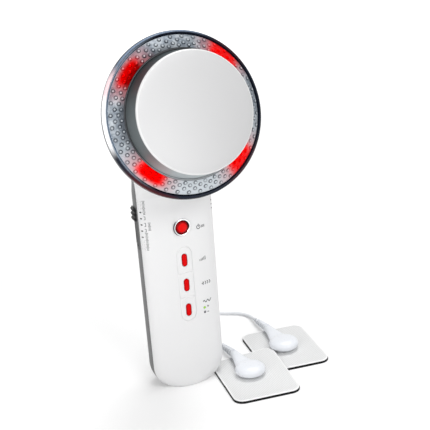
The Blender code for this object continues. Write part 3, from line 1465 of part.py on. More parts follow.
# Pads and their snap connectors

def pad_sheet(bm, half_wide, half_long, corner, low, thick, lift):
    """A rounded sheet cut into a grid by lift's own steps, raised where it lies on its neighbour."""
    outline = rounded_outline(half_wide, half_long, corner, 4)
    face = bm.faces.new([bm.verts.new((x, y, low)) for x, y in outline])
    if lift:
        for axis in (0, 1):
            for step in range(5):
                spot, normal = [0, 0, 0], [0, 0, 0]
                spot[axis] = lift["edge"][axis] + LIFT_RUN * (step / 4 - 1)
                normal[axis] = 1
                geometry = bm.verts[:] + bm.edges[:] + bm.faces[:]
                bmesh.ops.bisect_plane(bm, geom=geometry, plane_co=spot, plane_no=normal)
        bmesh.ops.triangulate(bm, faces=bm.faces[:])
    moved = bmesh.ops.extrude_face_region(bm, geom=bm.faces[:], use_keep_orig=True)
    top = [v for v in moved["geom"] if isinstance(v, bmesh.types.BMVert)]
    bmesh.ops.translate(bm, vec=(0, 0, thick), verts=top)
    if lift:
        for vert in bm.verts:
            vert.co.z += lift_at(vert.co.x, vert.co.y, lift)


def lift_at(x, y, lift):
    rise = 1.0
    for value, edge in zip((x, y), lift["edge"]):
        share = min(max((value - edge) / LIFT_RUN + 1, 0), 1)
        rise *= share * share * (3 - 2 * share)
    return rise * lift["height"]


def pad_top():
    return GEL_THICK + GAP + CLOTH_THICK


def make_pads():
    turn = Matrix.Rotation(PAD_TURN, 3, "Z")
    between = turn.inverted() @ Vector((FAR_PAD[0] - NEAR_PAD[0], FAR_PAD[1] - NEAR_PAD[1], 0))
    edge = (
        between.x - PAD_HALF_WIDTH - LIFT_CLEAR,
        between.y - PAD_HALF_LONG - LIFT_CLEAR,
    )
    lift = {"edge": edge, "height": pad_top() + GAP}
    for name, place, raised in (("near", NEAR_PAD, lift), ("far", FAR_PAD, None)):
        at = empty(name + "_pad_place", (*place, 0), (0, 0, PAD_TURN))
        bm = bmesh.new()
        pad_sheet(bm, PAD_HALF_WIDTH, PAD_HALF_LONG, PAD_CORNER, 0, GEL_THICK, raised)
        piece(name + "_pad_gel", bm, ((0.02, 0.02, 0.022), 0.4), at)
        bm = bmesh.new()
        wide, long = PAD_HALF_WIDTH - CLOTH_MARGIN, PAD_HALF_LONG - CLOTH_MARGIN
        pad_sheet(bm, wide, long, PAD_CORNER - CLOTH_MARGIN, GEL_THICK + GAP, CLOTH_THICK, raised)
        piece(name + "_pad_cloth", bm, ((0.8, 0.8, 0.79), 0.9), at)


def ellipse_loop(centre, half_wide, half_tall, count=16):
    loop = []
    for k in range(count):
        angle = math.tau * k / count
        loop.append(centre + Vector((half_wide * math.cos(angle), 0, half_tall * math.sin(angle))))
    return loop


def snap_heights():
    low = pad_top() + SNAP_LIFT
    return low, low + SNAP_WAIST, low + SNAP_TALL


def relief_frame():
    """Where a relief lies in its connector's frame: local Z runs along it, down towards the floor."""
    slope = math.asin(RELIEF_DROP / RELIEF_LONG)
    _, waist, _ = snap_heights()
    return Matrix.Translation((0, NECK_END, waist)) @ Matrix.Rotation(-math.pi / 2 - slope, 4, "X")


def make_snap(name, place, turn):
    """A domed snap connector with its neck and ribbed strain relief, and the stud that it grips."""
    at = empty(name + "_snap_place", (*place, 0), (0, 0, turn))
    low, waist, top = snap_heights()
    profile = [(0, low), (SNAP_FLAT, low)]
    for step in range(1, 4):
        angle = math.pi / 2 * step / 3
        radius = SNAP_FLAT + (SNAP_RADIUS - SNAP_FLAT) * math.sin(angle)
        profile.append((radius, waist - SNAP_WAIST * math.cos(angle)))
    for step in range(1, 6):
        angle = math.pi / 2 * step / 6
        radius = SNAP_RADIUS * math.cos(angle) ** (2 / DOME_FULLNESS)
        profile.append((radius, waist + (top - waist) * math.sin(angle) ** (2 / DOME_FULLNESS)))
    profile.append((0, top))
    bm = bmesh.new()
    add_turned(bm, profile, RING_SEGMENTS // 2, closed=False)
    dome = piece(name + "_connector", bm, CORD_LOOK, at)
    neck = bmesh.new()
    loops = []
    for step in range(5):
        share = step / 4
        smooth = share * share * (3 - 2 * share)
        centre = Vector((0, NECK_START + (NECK_END - NECK_START) * share, waist))
        wide = NECK_HALF_START + (NECK_HALF_END - NECK_HALF_START) * smooth
        tall = NECK_TALL_START + (NECK_TALL_END - NECK_TALL_START) * smooth
        loops.append(ellipse_loop(centre, wide, tall))
    add_loft(neck, loops)
    combine(dome, tool(name + "_neck", neck, at), "UNION")
    pitch = RELIEF_LONG / (RELIEF_RIBS + 1)
    profile = [(0, -RELIEF_SEAT), (RELIEF_START, -RELIEF_SEAT)]
    for rib in range(RELIEF_RIBS):
        start = pitch * (rib + 1 / 2)
        radius = RELIEF_START + (RELIEF_END - RELIEF_START) * (rib + 1) / (RELIEF_RIBS + 1)
        profile += [(radius, start), (radius - RIB_SINK, start + pitch / 4)]
        profile += [(radius - RIB_SINK, start + pitch / 2), (radius, start + pitch * 3 / 4)]
    profile += [(RELIEF_END, RELIEF_LONG), (0, RELIEF_LONG)]
    relief = bmesh.new()
    add_turned(relief, profile, RELIEF_SEGMENTS, relief_frame(), closed=False)
    combine(dome, tool(name + "_relief", relief, at), "UNION")
    socket = bmesh.new()
    add_rod(socket, SNAP_SOCKET, low - OVERRUN, low + SNAP_SOCKET_DEEP)
    combine(dome, tool(name + "_stud_socket", socket, at), "DIFFERENCE")

    bm = bmesh.new()
    base = pad_top() + GAP
    profile = (
        (0, base),
        (STUD_FLANGE, base),
        (STUD_FLANGE, base + STUD_FLANGE_THICK),
        (STUD_RADIUS * 3 / 4, base + STUD_FLANGE_THICK),
        (STUD_RADIUS, low + SNAP_SOCKET_DEEP / 2),
        (STUD_RADIUS * 3 / 4, low + SNAP_SOCKET_DEEP - GAP),
        (0, low + SNAP_SOCKET_DEEP - GAP),
    )
    add_turned(bm, profile, SMALL_SEGMENTS, closed=False)
    piece(name + "_stud", bm, ((0.6, 0.6, 0.62), 0.25, 1.0), at)


def build():
    clear_scene()
    seam = empty("seam", (0, SEAM_Y, 0))
    ring = empty("ring_axis", (0, -RING_FORWARD, RING_HEIGHT), (math.pi / 2 - TILT, 0, 0), seam)
    front, back = make_shells(seam)
    cut_face(front, seam)
    cut_back(back, seam)
    make_shell_screws(seam)
    make_power_button(seam)
    make_keys(seam)
    make_switch_mat(seam)
    make_lights(seam)
    make_slider(seam, MODE_SLIDER)
    make_slider(seam, LEVEL_SLIDER)
    make_board(seam)
    make_components(seam)
    make_socket(
        seam,
        "power_socket",
        POWER_SOCKET_HEIGHT,
        POWER_SOCKET_HALF,
        POWER_SOCKET_NOSE,
        POWER_SOCKET_BORE,
        POWER_SOCKET_DEEP,
        POWER_PIN_RADIUS,
    )
    make_socket(
        seam,
        "lead_socket",
        LEAD_SOCKET_HEIGHT,
        LEAD_SOCKET_HALF,
        LEAD_SOCKET_NOSE,
        LEAD_SOCKET_BORE,
        LEAD_SOCKET_DEEP,
        0,
    )
    make_head(ring)
    make_plug(seam)
    make_splitter()
    make_lead()
    make_pads()
    make_snap("near", NEAR_SNAP, NEAR_SNAP_TURN)
    make_snap("far", FAR_SNAP, FAR_SNAP_TURN)


build()
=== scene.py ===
import math
from functools import partial, reduce

import bmesh
import bpy
from mathutils import Matrix, Vector


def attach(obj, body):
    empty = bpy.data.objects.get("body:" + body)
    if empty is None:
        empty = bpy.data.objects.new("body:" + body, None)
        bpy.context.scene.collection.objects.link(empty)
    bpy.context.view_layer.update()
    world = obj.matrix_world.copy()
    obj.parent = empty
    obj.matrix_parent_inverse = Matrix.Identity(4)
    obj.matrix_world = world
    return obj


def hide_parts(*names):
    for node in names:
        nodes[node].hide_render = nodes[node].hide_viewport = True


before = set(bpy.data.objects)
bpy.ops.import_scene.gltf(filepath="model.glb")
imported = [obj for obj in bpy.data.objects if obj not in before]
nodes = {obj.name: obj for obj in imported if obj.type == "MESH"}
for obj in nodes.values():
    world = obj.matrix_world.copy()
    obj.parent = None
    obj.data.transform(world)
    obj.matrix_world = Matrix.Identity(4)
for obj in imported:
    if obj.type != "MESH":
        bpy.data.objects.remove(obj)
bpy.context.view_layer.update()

print("scene: frame loaded,", len(nodes), "nodes")

# Camera: fitted to the photograph's frame of 430 by 430

view = {
    "target": (0.02165, -0.0020, 0.08854),
    "azimuth": 23.32,
    "elevation": 20.26,
    "roll": 4.42,
    "distance": 0.6132,
    "focalShare": 1200 / 430,
    "sensor": 36.0,
    "near": 0.02,
}


def placed(name, data, at=Matrix()):
    made = bpy.data.objects.new(name, data)
    bpy.context.collection.objects.link(made)
    made.matrix_world = at
    return made


def makeCamera():
    turn, lift = math.radians(view["azimuth"]), math.radians(view["elevation"])
    back = Vector((-math.sin(turn) * math.cos(lift), -math.cos(turn) * math.cos(lift), math.sin(lift)))
    right = (-back).cross(Vector((0, 0, 1))).normalized()
    aim = Matrix((right, right.cross(-back), back)).transposed().to_4x4()
    aim = aim @ Matrix.Rotation(-math.radians(view["roll"]), 4, "Z")
    data = bpy.data.cameras.new("studio_camera")
    data.sensor_fit = "HORIZONTAL"
    data.sensor_width = view["sensor"]
    data.lens = view["focalShare"] * view["sensor"]
    data.clip_start = view["near"]
    away = Matrix.Translation(Vector(view["target"]) + back * view["distance"])
    bpy.context.scene.camera = placed("studio_camera", data, away @ aim)
    bpy.context.scene.view_settings.view_transform = "Standard"


makeCamera()

# Shader sums: an expression on wires adds its own Math nodes


def maths(operation, swapped=False):
    def apply(self, *others):
        operands = (*others, self) if swapped else (self, *others)
        return self.look.node("Math", {"operation": operation}, dict(enumerate(operands)))

    return apply


class Wire:
    def __init__(self, look, socket):
        self.look, self.socket = look, socket

    __add__, __radd__ = maths("ADD"), maths("ADD", swapped=True)
    __sub__, __rsub__ = maths("SUBTRACT"), maths("SUBTRACT", swapped=True)
    __mul__, __rmul__ = maths("MULTIPLY"), maths("MULTIPLY", swapped=True)
    __truediv__, __rtruediv__ = maths("DIVIDE"), maths("DIVIDE", swapped=True)
    __pow__, __abs__ = maths("POWER"), maths("ABSOLUTE")
    sine, root, fraction = maths("SINE"), maths("SQRT"), maths("FRACT")
    most, bearing = maths("MAXIMUM"), maths("ARCTAN2")

    def rise(self, low, high):  # 0 below low, 1 above high, smooth between
        ends = {"Value": self, "From Min": low, "From Max": high}
        return self.look.node("MapRange", {"interpolation_type": "SMOOTHSTEP"}, ends)

    def fall(self, low, high):
        return 1 - self.rise(low, high)


def highest(wires):
    return reduce(Wire.most, wires)


def distance(across, along):
    return ((across * across) + (along * along)).root()


def towards(x, y, radius, degrees, wide, tight):  # 1 on that side of the centre, 0 beyond the wide angle
    way = math.radians(degrees)
    share = (x * math.cos(way) + y * math.sin(way)) / radius
    return share.rise(math.cos(math.radians(wide)), math.cos(math.radians(tight)))


class Look:
    def __init__(self, name, plain, world=None):
        self.material = world or bpy.data.materials.new(name)
        self.material.use_nodes = True
        self.tree = self.material.node_tree
        self.shader = self.tree.nodes["Background" if world else "Principled BSDF"]
        for socket, value in plain.items():
            self.feed(socket, value)

    def put(self, socket, value):
        if isinstance(value, Wire):
            self.tree.links.new(value.socket, socket)
        elif isinstance(value, tuple) and socket.type == "RGBA":
            socket.default_value = (*value, 1.0)
        else:
            socket.default_value = value

    def node(self, kind, settings, inputs, output=0):
        made = self.tree.nodes.new("ShaderNode" + kind)
        for setting, value in settings.items():
            setattr(made, setting, value)
        for socket, value in inputs.items():
            self.put(made.inputs[socket], value)
        return Wire(self, made.outputs[output])

    def place(self):
        return self.node("TexCoord", {}, {}, "Object")

    def axes(self):
        place = self.place()
        return [self.node("SeparateXYZ", {}, {0: place}, axis) for axis in "XYZ"]

    def polar(self):  # the three axes, and the distance from the third
        x, y, z = self.axes()
        return x, y, z, distance(x, y)

    def stretched(self, scale):
        return self.node("VectorMath", {"operation": "MULTIPLY"}, {0: self.place(), 1: scale})

    def noise(self, size, detail=2.0, where=None):  # size is the width of a blotch, in metres
        inputs = {"Vector": where or self.place(), "Scale": 1 / size, "Detail": detail}
        return self.node("TexNoise", {}, inputs)

    def mix(self, share, first, second):
        return self.node("Mix", {"data_type": "RGBA"}, {"Factor": share, 6: first, 7: second}, 2)

    def bump(self, height, distance, strength=1.0):
        inputs = {"Height": height, "Distance": distance, "Strength": strength}
        self.feed("Normal", self.node("Bump", {}, inputs))

    def feed(self, socket, value):
        self.put(self.shader.inputs[socket], value)

    def finish(self, colour, rough):
        self.feed("Base Color", colour)
        self.feed("Roughness", rough)


def grey(tone):
    return (tone, tone, tone)


# Shapes


def eased(share):
    share = min(max(share, 0), 1)
    return share * share * (3 - 2 * share)


def bulged(value, power):
    return math.copysign(abs(value) ** power, value)


def arc(x, z, radius, low, high, steps):
    turns = [math.radians(low + (high - low) * k / steps) for k in range(steps + 1)]
    return [(x + radius * math.cos(a), z + radius * math.sin(a)) for a in turns]


def around(bm, profile, steps, closed=True):  # turns (radius, height) points about Z
    verts = [bm.verts.new((radius, 0, height)) for radius, height in profile]
    ends = list(zip(verts, verts[1:])) + ([(verts[-1], verts[0])] if closed else [])
    edges = [bm.edges.new(pair) for pair in ends]
    bmesh.ops.spin(bm, geom=verts + edges, cent=(0, 0, 0), axis=(0, 0, 1), angle=math.tau, steps=steps, use_merge=True)


def moveNew(bm, before, at):
    bmesh.ops.transform(bm, matrix=at, verts=[v for v in bm.verts if v not in before])


def turned(bm, profile, steps, at, closed=False):
    before = set(bm.verts)
    around(bm, profile, steps, closed)
    moveNew(bm, before, at)


def prism(bm, outline, low, high, at=Matrix()):
    skin(bm, [[at @ Vector((x, y, z)) for x, y in outline] for z in (low, high)])


def skin(bm, loops, capLast=True):
    rings = [[bm.verts.new(point) for point in loop] for loop in loops]
    count = len(rings[0])
    for low, high in zip(rings, rings[1:]):
        for k in range(count):
            following = (k + 1) % count
            bm.faces.new((low[k], low[following], high[following], high[k]))
    bm.faces.new(rings[0][::-1])
    if capLast:
        bm.faces.new(rings[-1])


def box(bm, low, high, at=Matrix()):
    low, high = Vector(low), Vector(high)
    made = bmesh.ops.create_cube(bm, size=1)
    stretch = Matrix.Diagonal((*(high - low), 1))
    bmesh.ops.transform(bm, matrix=at @ Matrix.Translation((low + high) / 2) @ stretch, verts=made["verts"])


def rounded(halfWide, halfTall, radius, steps=12):
    points = []
    for corner, (side, end) in enumerate(((1, 1), (-1, 1), (-1, -1), (1, -1))):
        for k in range(steps + 1):
            angle = math.pi / 2 * (corner + k / steps)
            x = side * (halfWide - radius) + radius * math.cos(angle)
            points.append((x, end * (halfTall - radius) + radius * math.sin(angle)))
    return points


def thing(name, bm, look, at=Matrix(), crease=40):
    bmesh.ops.remove_doubles(bm, verts=bm.verts, dist=0.000001)
    bmesh.ops.recalc_face_normals(bm, faces=bm.faces)
    mesh = bpy.data.meshes.new(name)
    bm.to_mesh(mesh)
    bm.free()
    mesh.shade_smooth()
    mesh.set_sharp_from_angle(angle=math.radians(crease))
    if look:
        mesh.materials.append(look.material)
    return placed(name, mesh, at)


def piece(name, bm, look, body="machine", stands=(), at=Matrix(), crease=40):
    made = thing(name, bm, look, at, crease)
    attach(made, body)
    if stands:
        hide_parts(*stands)
    return made


def carve(target, tool, operation="DIFFERENCE"):
    made = target.modifiers.new(operation.lower(), "BOOLEAN")
    made.operation = operation
    made.solver = "EXACT"
    made.object = tool


def bake(made, crease):  # the modifiers' result becomes the piece's own mesh, and their tools go
    bpy.context.view_layer.update()
    whole = made.evaluated_get(bpy.context.evaluated_depsgraph_get())
    mesh = bpy.data.meshes.new_from_object(whole)
    tools = [step.object for step in made.modifiers if step.type == "BOOLEAN"]
    made.modifiers.clear()
    mesh.set_sharp_from_angle(angle=math.radians(crease))
    made.data = mesh
    for tool in tools:
        bpy.data.objects.remove(tool)


# Cords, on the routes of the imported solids

cord = {
    "width": 0.0018,
    "clear": 0.0003,
    "onFloor": 0.0010,
    "sides": 6,
    "between": 6,
}
coil = {
    "centre": (0.0358, 0.0955),
    "radius": 0.0100,
    "layers": 4,
    "turns": 3.0,
    "step": 0.0023,
    "points": 24,
    "start": math.radians(156.7),
}
plugRoute = (
    (0.0005, 0.0410, 0.0308), (0.0022, 0.0460, 0.0280), (0.0050, 0.0500, 0.0215), (0.0080, 0.0532, 0.0130),
    (0.0108, 0.0564, 0.0060), (0.0132, 0.0610, 0.0020), (0.0144, 0.0670), (0.0149, 0.0740),
    (0.0163, 0.0830), (0.0189, 0.0914),
)
tailRoute = (
    (0.0264, 0.1083, 0.0072), (0.0302, 0.1122, 0.0056), (0.0342, 0.1146, 0.0038), (0.0375, 0.1178, 0.0024),
)
nearRoute = (
    (0.0446, 0.1375, 0.0014), (0.0440, 0.1417), (0.0400, 0.1440), (0.0352, 0.1412),
    (0.0308, 0.1340), (0.0272, 0.1250), (0.0240, 0.1165), (0.0206, 0.1080),
    (0.0172, 0.0995), (0.0135, 0.0900), (0.0100, 0.0800), (0.0070, 0.0705),
    (0.0052, 0.0620), (0.0064, 0.0548), (0.0115, 0.0485), (0.0190, 0.0430),
    (0.0248, 0.0378), (0.0278, 0.0330, 0.0012), (0.0292, 0.0285, 0.0017),
)
farRoute = (
    (0.0478, 0.1362, 0.0014), (0.0515, 0.1392), (0.0562, 0.1380), (0.0592, 0.1320),
    (0.0596, 0.1220), (0.0580, 0.1100), (0.0551, 0.0990), (0.0523, 0.0900),
    (0.0480, 0.0818), (0.0437, 0.0762), (0.0416, 0.0710), (0.0432, 0.0660),
    (0.0474, 0.0626), (0.0510, 0.0600), (0.0544, 0.0577), (0.0574, 0.0551),
    (0.0596, 0.0516), (0.0604, 0.0482, 0.0013), (0.0603, 0.0450, 0.0018),
)
plug = {
    "place": (0, 0.0145, 0.0310), "start": 0.0005, "long": 0.0130, "relief": 0.0085,
    "pin": 0.0017, "pinTip": 0.0011, "pinLong": 0.0100, "grip": 0.0036, "groove": 0.00335, "rib": 0.0024,
}
splitter = {
    "place": (0.0396, 0.1220), "turn": math.radians(-23.3),
    "long": 0.0120, "tall": 0.0040, "wide": (0.0019, 0.0034), "spread": 0.0016,
}
snaps = {
    "near": {"place": (0.0286, -0.0169), "turn": math.radians(-1.1)},
    "far": {"place": (0.0576, 0.0002), "turn": math.radians(-3.2)},
}
snapShape = {
    "low": 0.0025, "waist": 0.0047, "top": 0.0083, "radius": 0.0080, "flat": 0.0045, "fullness": 2.5,
    "neckStart": 0.0020, "neckEnd": 0.0214, "neckWide": (0.0056, 0.0025), "neckTall": (0.0019, 0.0021),
    "reliefLong": 0.0187, "reliefDrop": 0.0022, "reliefRadii": (0.0024, 0.0014), "reliefSunk": 0.0012,
    "ribs": 5, "ribSink": 0.0009, "voxel": 0.00030,
}


def coilPoints():
    perLayer = math.tau * coil["turns"]
    outer = coil["radius"] + coil["step"] * coil["turns"] / 2
    points = []
    for k in range(round(coil["layers"] * coil["turns"] * coil["points"]) + 1):
        gone = math.tau * k / coil["points"]
        layer = min(int(gone / perLayer), coil["layers"] - 1)
        within = gone - layer * perLayer
        inward = within if layer % 2 == 0 else perLayer - within
        radius = outer - coil["step"] * inward / math.tau
        height = sum(eased((gone - climb * perLayer) / math.pi + 0.5) for climb in range(1, coil["layers"]))
        angle = coil["start"] - gone
        x = coil["centre"][0] + radius * math.cos(angle)
        y = coil["centre"][1] + radius * math.sin(angle)
        points.append(Vector((x, y, cord["onFloor"] + coil["step"] * height)))
    along = Vector((math.sin(coil["start"]), -math.cos(coil["start"]), 0)) * cord["width"]
    return [points[0] - along, *points, points[-1] + along]


def reliefFrame(snap):
    slope = math.asin(snapShape["reliefDrop"] / snapShape["reliefLong"])
    base = Matrix.Translation((*snap["place"], 0)) @ Matrix.Rotation(snap["turn"], 4, "Z")
    end = Matrix.Translation((0, snapShape["neckEnd"], snapShape["waist"]))
    return base @ end @ Matrix.Rotation(-math.pi / 2 - slope, 4, "X")


def cordExits():
    along = Matrix.Rotation(splitter["turn"], 3, "Z") @ Vector((0, 1, 0))
    across = along.cross(Vector((0, 0, 1))) * splitter["spread"]
    low = Vector((*splitter["place"], splitter["tall"] / 2))
    high = low + along * splitter["long"]
    plugEnd = Vector(plug["place"]) + Vector((0, plug["start"] + plug["long"] + plug["relief"], 0))
    found = {
        "plug": (plugEnd, Vector((0, 1, 0))),
        "splitter": (low, -along),
        "nearBranch": (high - across, along),
        "farBranch": (high + across, along),
    }
    for name, snap in snaps.items():
        place = reliefFrame(snap)
        end = place @ Vector((0, 0, snapShape["reliefLong"]))
        found[name] = (end, place.to_3x3() @ Vector((0, 0, 1)))
    return found


def leaving(end):
    spot, way = end
    return [spot, spot + way * (cord["clear"] + cord["width"] / 2)]


def joined(start, route, end):  # a point without a height lies on the floor
    between = [Vector((*point, cord["onFloor"])[:3]) for point in route]
    return leaving(start) + between + leaving(end)[::-1]


def makeCord(name, points, stands):
    curve = bpy.data.curves.new(name, "CURVE")
    curve.dimensions = "3D"
    curve.bevel_depth = cord["width"] / 2
    curve.bevel_resolution = cord["sides"]
    curve.resolution_u = cord["between"]
    curve.use_fill_caps = True
    spline = curve.splines.new("BEZIER")
    last = len(points) - 1
    spline.bezier_points.add(last)
    for k, (spot, point) in enumerate(zip(spline.bezier_points, points)):
        before, after = points[max(k - 1, 0)], points[min(k + 1, last)]
        way = (after - before).normalized()
        spot.co = point
        spot.handle_left_type = spot.handle_right_type = "FREE"
        spot.handle_left = point - way * ((point - before).length / 3)
        spot.handle_right = point + way * ((after - point).length / 3)
    curve.materials.append(leadFinish.material)
    made = placed(name, curve)
    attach(made, "machine")
    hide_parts(*stands)
    return made


def leadLook(name, first, second, shadedGrooves=False):
    look = Look(name, {"Roughness": 0.3, "IOR": 1.5, "Coat Roughness": 0.2})
    cloud = look.noise(0.004)
    colour = look.mix(cloud, first, second)
    if shadedGrooves:  # painted shade darkens the grooves of the relief
        y = look.axes()[1]
        pitch = snapShape["reliefLong"] / (snapShape["ribs"] + 1)
        slope = math.cos(math.asin(snapShape["reliefDrop"] / snapShape["reliefLong"]))
        wave = ((y - snapShape["neckEnd"]) / (pitch * slope) - 0.13).fraction() - 0.5
        groove = abs(wave).rise(0.22, 0.28) * y.rise(snapShape["neckEnd"] - 0.0003, snapShape["neckEnd"])
        # painted shade in the grooves
        colour = look.mix(groove, colour, (0.30, 0.32, 0.355))
    look.finish(colour, 0.24 + 0.1 * look.noise(0.0012))
    look.feed("Coat Weight", 0.15 + 0.15 * cloud)
    look.bump(look.noise(0.0005, 3.0), 0.00002, 0.5)
    return look


leadFinish = leadLook("lead_jacket", (0.84, 0.86, 0.89), (0.88, 0.895, 0.92))
snapFinish = leadLook("snap_jacket", (0.77, 0.795, 0.84), (0.81, 0.83, 0.865), shadedGrooves=True)
exits = cordExits()
mainRoute = (*plugRoute, *coilPoints(), *tailRoute)
mainPoints = joined(exits["plug"], mainRoute, exits["splitter"])
mainLead = makeCord("main_lead", mainPoints, ("plug_cord", "lead_coil", "tail_cord"))
nearLead = makeCord("near_lead", joined(exits["nearBranch"], nearRoute, exits["near"]), ("near_cord",))
farLead = makeCord("far_lead", joined(exits["farBranch"], farRoute, exits["far"]), ("far_cord",))
print("scene: cords laid")

# Stage: a pale floor that runs off into white, and plain soft light

light = {
    "ambient": 0.42,
    "sun": {"strength": 1.35, "angle": 32.0, "from": (0.24, 0.16, 1.0)},
    "boxes": {
        "left_box": {"place": (-0.75, -0.55, 0.42), "size": (0.30, 0.75), "power": 2.8},
        "front_box": {"place": (0.25, -1.25, 0.95), "size": (0.7, 0.5), "power": 7.0},
    },
    "aim": (0.01, -0.01, 0.11),
    "floor": (0.80, 0.81),
    "floorLift": 0.25,
    "floorEnds": (0.3, 1.3),
}


def seenRays(look):  # 1 for what the camera sees, also in metal and through glass
    rays = ("Is Camera Ray", "Is Glossy Ray", "Is Transmission Ray")
    return highest(look.node("LightPath", {}, {}, ray) for ray in rays)


def makeLamp(name, kind, power, way, place=(0, 0, 0)):
    data = bpy.data.lights.new(name, kind)
    data.energy = power
    placed(name, data, Matrix.Translation(place) @ way.to_track_quat("Z", "Y").to_matrix().to_4x4())
    return data


def makeStage():
    world = bpy.data.worlds.new("studio")
    bpy.context.scene.world = world
    look = Look("studio", {"Color": grey(1.0)}, world)
    look.feed("Strength", light["ambient"] + (1 - light["ambient"]) * seenRays(look))

    bm = bmesh.new()
    bmesh.ops.create_grid(bm, x_segments=8, y_segments=8, size=6.0)
    look = Look("floor_paper", {"Roughness": 0.9, "Specular IOR Level": 0.0, "Emission Strength": 1.0})
    look.feed("Base Color", look.mix(look.noise(0.02), *(grey(tone) for tone in light["floor"])))
    x, y, z, away = look.polar()
    lifted = look.mix(away.rise(*light["floorEnds"]), grey(light["floorLift"]), grey(1.0))  # far off it is white
    look.feed("Emission Color", look.mix(seenRays(look), grey(0.0), lifted))
    thing("floor", bm, look)

    sun = light["sun"]
    data = makeLamp("soft_sun", "SUN", sun["strength"], Vector(sun["from"]))
    data.angle = math.radians(sun["angle"])
    for name, panel in light["boxes"].items():
        place = Vector(panel["place"])
        data = makeLamp(name, "AREA", panel["power"], place - Vector(light["aim"]), place)
        data.shape = "RECTANGLE"
        data.size, data.size_y = panel["size"]


makeStage()
print("scene: stage and light set")

# Casing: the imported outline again, finer, as two real shells with their holes

seamY = -0.0020
seam = Matrix.Translation((0, seamY, 0))
tilt = math.radians(17)
headMiddle = Vector((0, -0.0212, 0.1503))
ringAt = seam @ Matrix.Translation(headMiddle) @ Matrix.Rotation(math.pi / 2 - tilt, 4, "X")
casing = {
    "wall": 0.0018, "gap": 0.0003, "top": 0.106, "halfWide": 0.0200, "lowHalfWide": 0.0195,
    "face": 0.0070, "back": 0.0165, "facePower": 2.2, "backPower": 3.0,
    "footHalfWide": 0.0075, "footFace": 0.0058, "footBack": 0.0098, "sideRise": 0.0125, "faceRise": 0.0060,
    "mouthBehind": 0.0060, "mouthRadius": 0.0372, "nape": 0.0360, "crownBack": 0.0150, "crownDrop": 0.0070,
    "throatRise": 0.0030, "throatRun": 0.0090, "flarePower": 1.6, "flareEase": 0.7,
    "around": 144, "footSteps": 18, "handleSteps": 48, "headSteps": 44,
}


def loopAcross(origin, depthWay, halfWide, near, middle, far, powers):
    loop = []
    for k in range(casing["around"]):
        angle = math.tau * k / casing["around"]
        across, along = math.cos(angle), math.sin(angle)
        front = along < 0
        power = 2 / powers[0 if front else 1]
        reach = middle - near if front else far - middle
        x, depth = halfWide * bulged(across, power), middle + reach * bulged(along, power)
        loop.append(origin + Vector((x, 0, 0)) + depthWay * depth)
    return loop


def halfWideAt(height):
    return casing["lowHalfWide"] + (casing["halfWide"] - casing["lowHalfWide"]) * height / casing["top"]


def rounding(height, rise):
    left = max(1 - height / rise, 0)
    return math.sqrt(1 - left * left)


def handleLoop(height):
    side, face = rounding(height, casing["sideRise"]), rounding(height, casing["faceRise"])
    halfWide = casing["footHalfWide"] + (halfWideAt(height) - casing["footHalfWide"]) * side
    front = casing["footFace"] + (casing["face"] - casing["footFace"]) * face
    back = casing["footBack"] + (casing["back"] - casing["footBack"]) * face * side
    powers = (casing["facePower"], casing["backPower"])
    return loopAcross(Vector((0, 0, height)), Vector((0, 1, 0)), halfWide, -front, 0, back, powers)


def bezier(points, share):
    a, b, c, d = points
    rest = 1 - share
    return a * rest**3 + b * 3 * rest**2 * share + c * 3 * rest * share**2 + d * share**3


def crossing(curve, pivot, angle):
    low, high = 0.0, 1.0
    for _ in range(40):
        middle = (low + high) / 2
        away = bezier(curve, middle) - pivot
        if math.atan2(away.z, away.y) < angle:
            low = middle
        else:
            high = middle
    return (bezier(curve, low) - pivot).length


def headLoops():
    normal = Vector((0, -math.cos(tilt), math.sin(tilt)))
    up = Vector((0, math.sin(tilt), math.cos(tilt)))
    mouth = headMiddle - normal * casing["mouthBehind"]
    pivot = mouth - up * ((mouth.z - casing["top"]) / up.z)
    top, low = mouth + up * casing["mouthRadius"], mouth - up * casing["mouthRadius"]
    nape = Vector((0, casing["back"], casing["top"]))
    crown = top + Vector((0, casing["crownBack"], -casing["crownDrop"]))
    back = (nape, nape + Vector((0, 0, casing["nape"])), crown, top)
    throat = Vector((0, -casing["face"], casing["top"]))
    front = (throat, throat + Vector((0, 0, casing["throatRise"])), low - normal * casing["throatRun"], low)
    last = math.pi / 2 - tilt
    startShare = casing["face"] / (casing["face"] + casing["back"])
    loops = []
    for step in range(1, casing["headSteps"] + 1):
        away = bezier(back, step / casing["headSteps"]) - pivot
        angle = min(math.atan2(away.z, away.y), last)
        share = angle / last
        near, far = crossing(front, pivot, angle), crossing(back, pivot, angle)
        middle = near + (far - near) * (startShare + (0.5 - startShare) * share)
        flare = share ** casing["flarePower"] * eased(share / casing["flareEase"])
        halfWide = casing["halfWide"] + (casing["mouthRadius"] - casing["halfWide"]) * flare
        powers = tuple(casing[side] + (2 - casing[side]) * share for side in ("facePower", "backPower"))
        ray = Vector((0, math.cos(angle), math.sin(angle)))
        loops.append(loopAcross(pivot, ray, halfWide, near, middle, far, powers))
    return loops


def casingLoops():
    steps = casing["footSteps"]
    levels = [casing["sideRise"] * (1 - math.cos(math.pi / 2 * k / steps)) for k in range(steps + 1)]
    span = casing["top"] - casing["sideRise"]
    levels += [casing["sideRise"] + span * (k + 1) / casing["handleSteps"] for k in range(casing["handleSteps"])]
    return [handleLoop(level) for level in levels] + headLoops()


def faceDepth(x, height):
    share = min(abs(x) / halfWideAt(height), 1)
    return casing["face"] * (1 - share ** casing["facePower"]) ** (1 / casing["facePower"])


def facing(x, height):  # local Z points out of the white face
    return Matrix.Translation((x, 0, height)) @ Matrix.Rotation(math.pi / 2, 4, "X")


def backing(x, height):  # local Z points backwards
    return Matrix.Translation((x, 0, height)) @ Matrix.Rotation(-math.pi / 2, 4, "X")


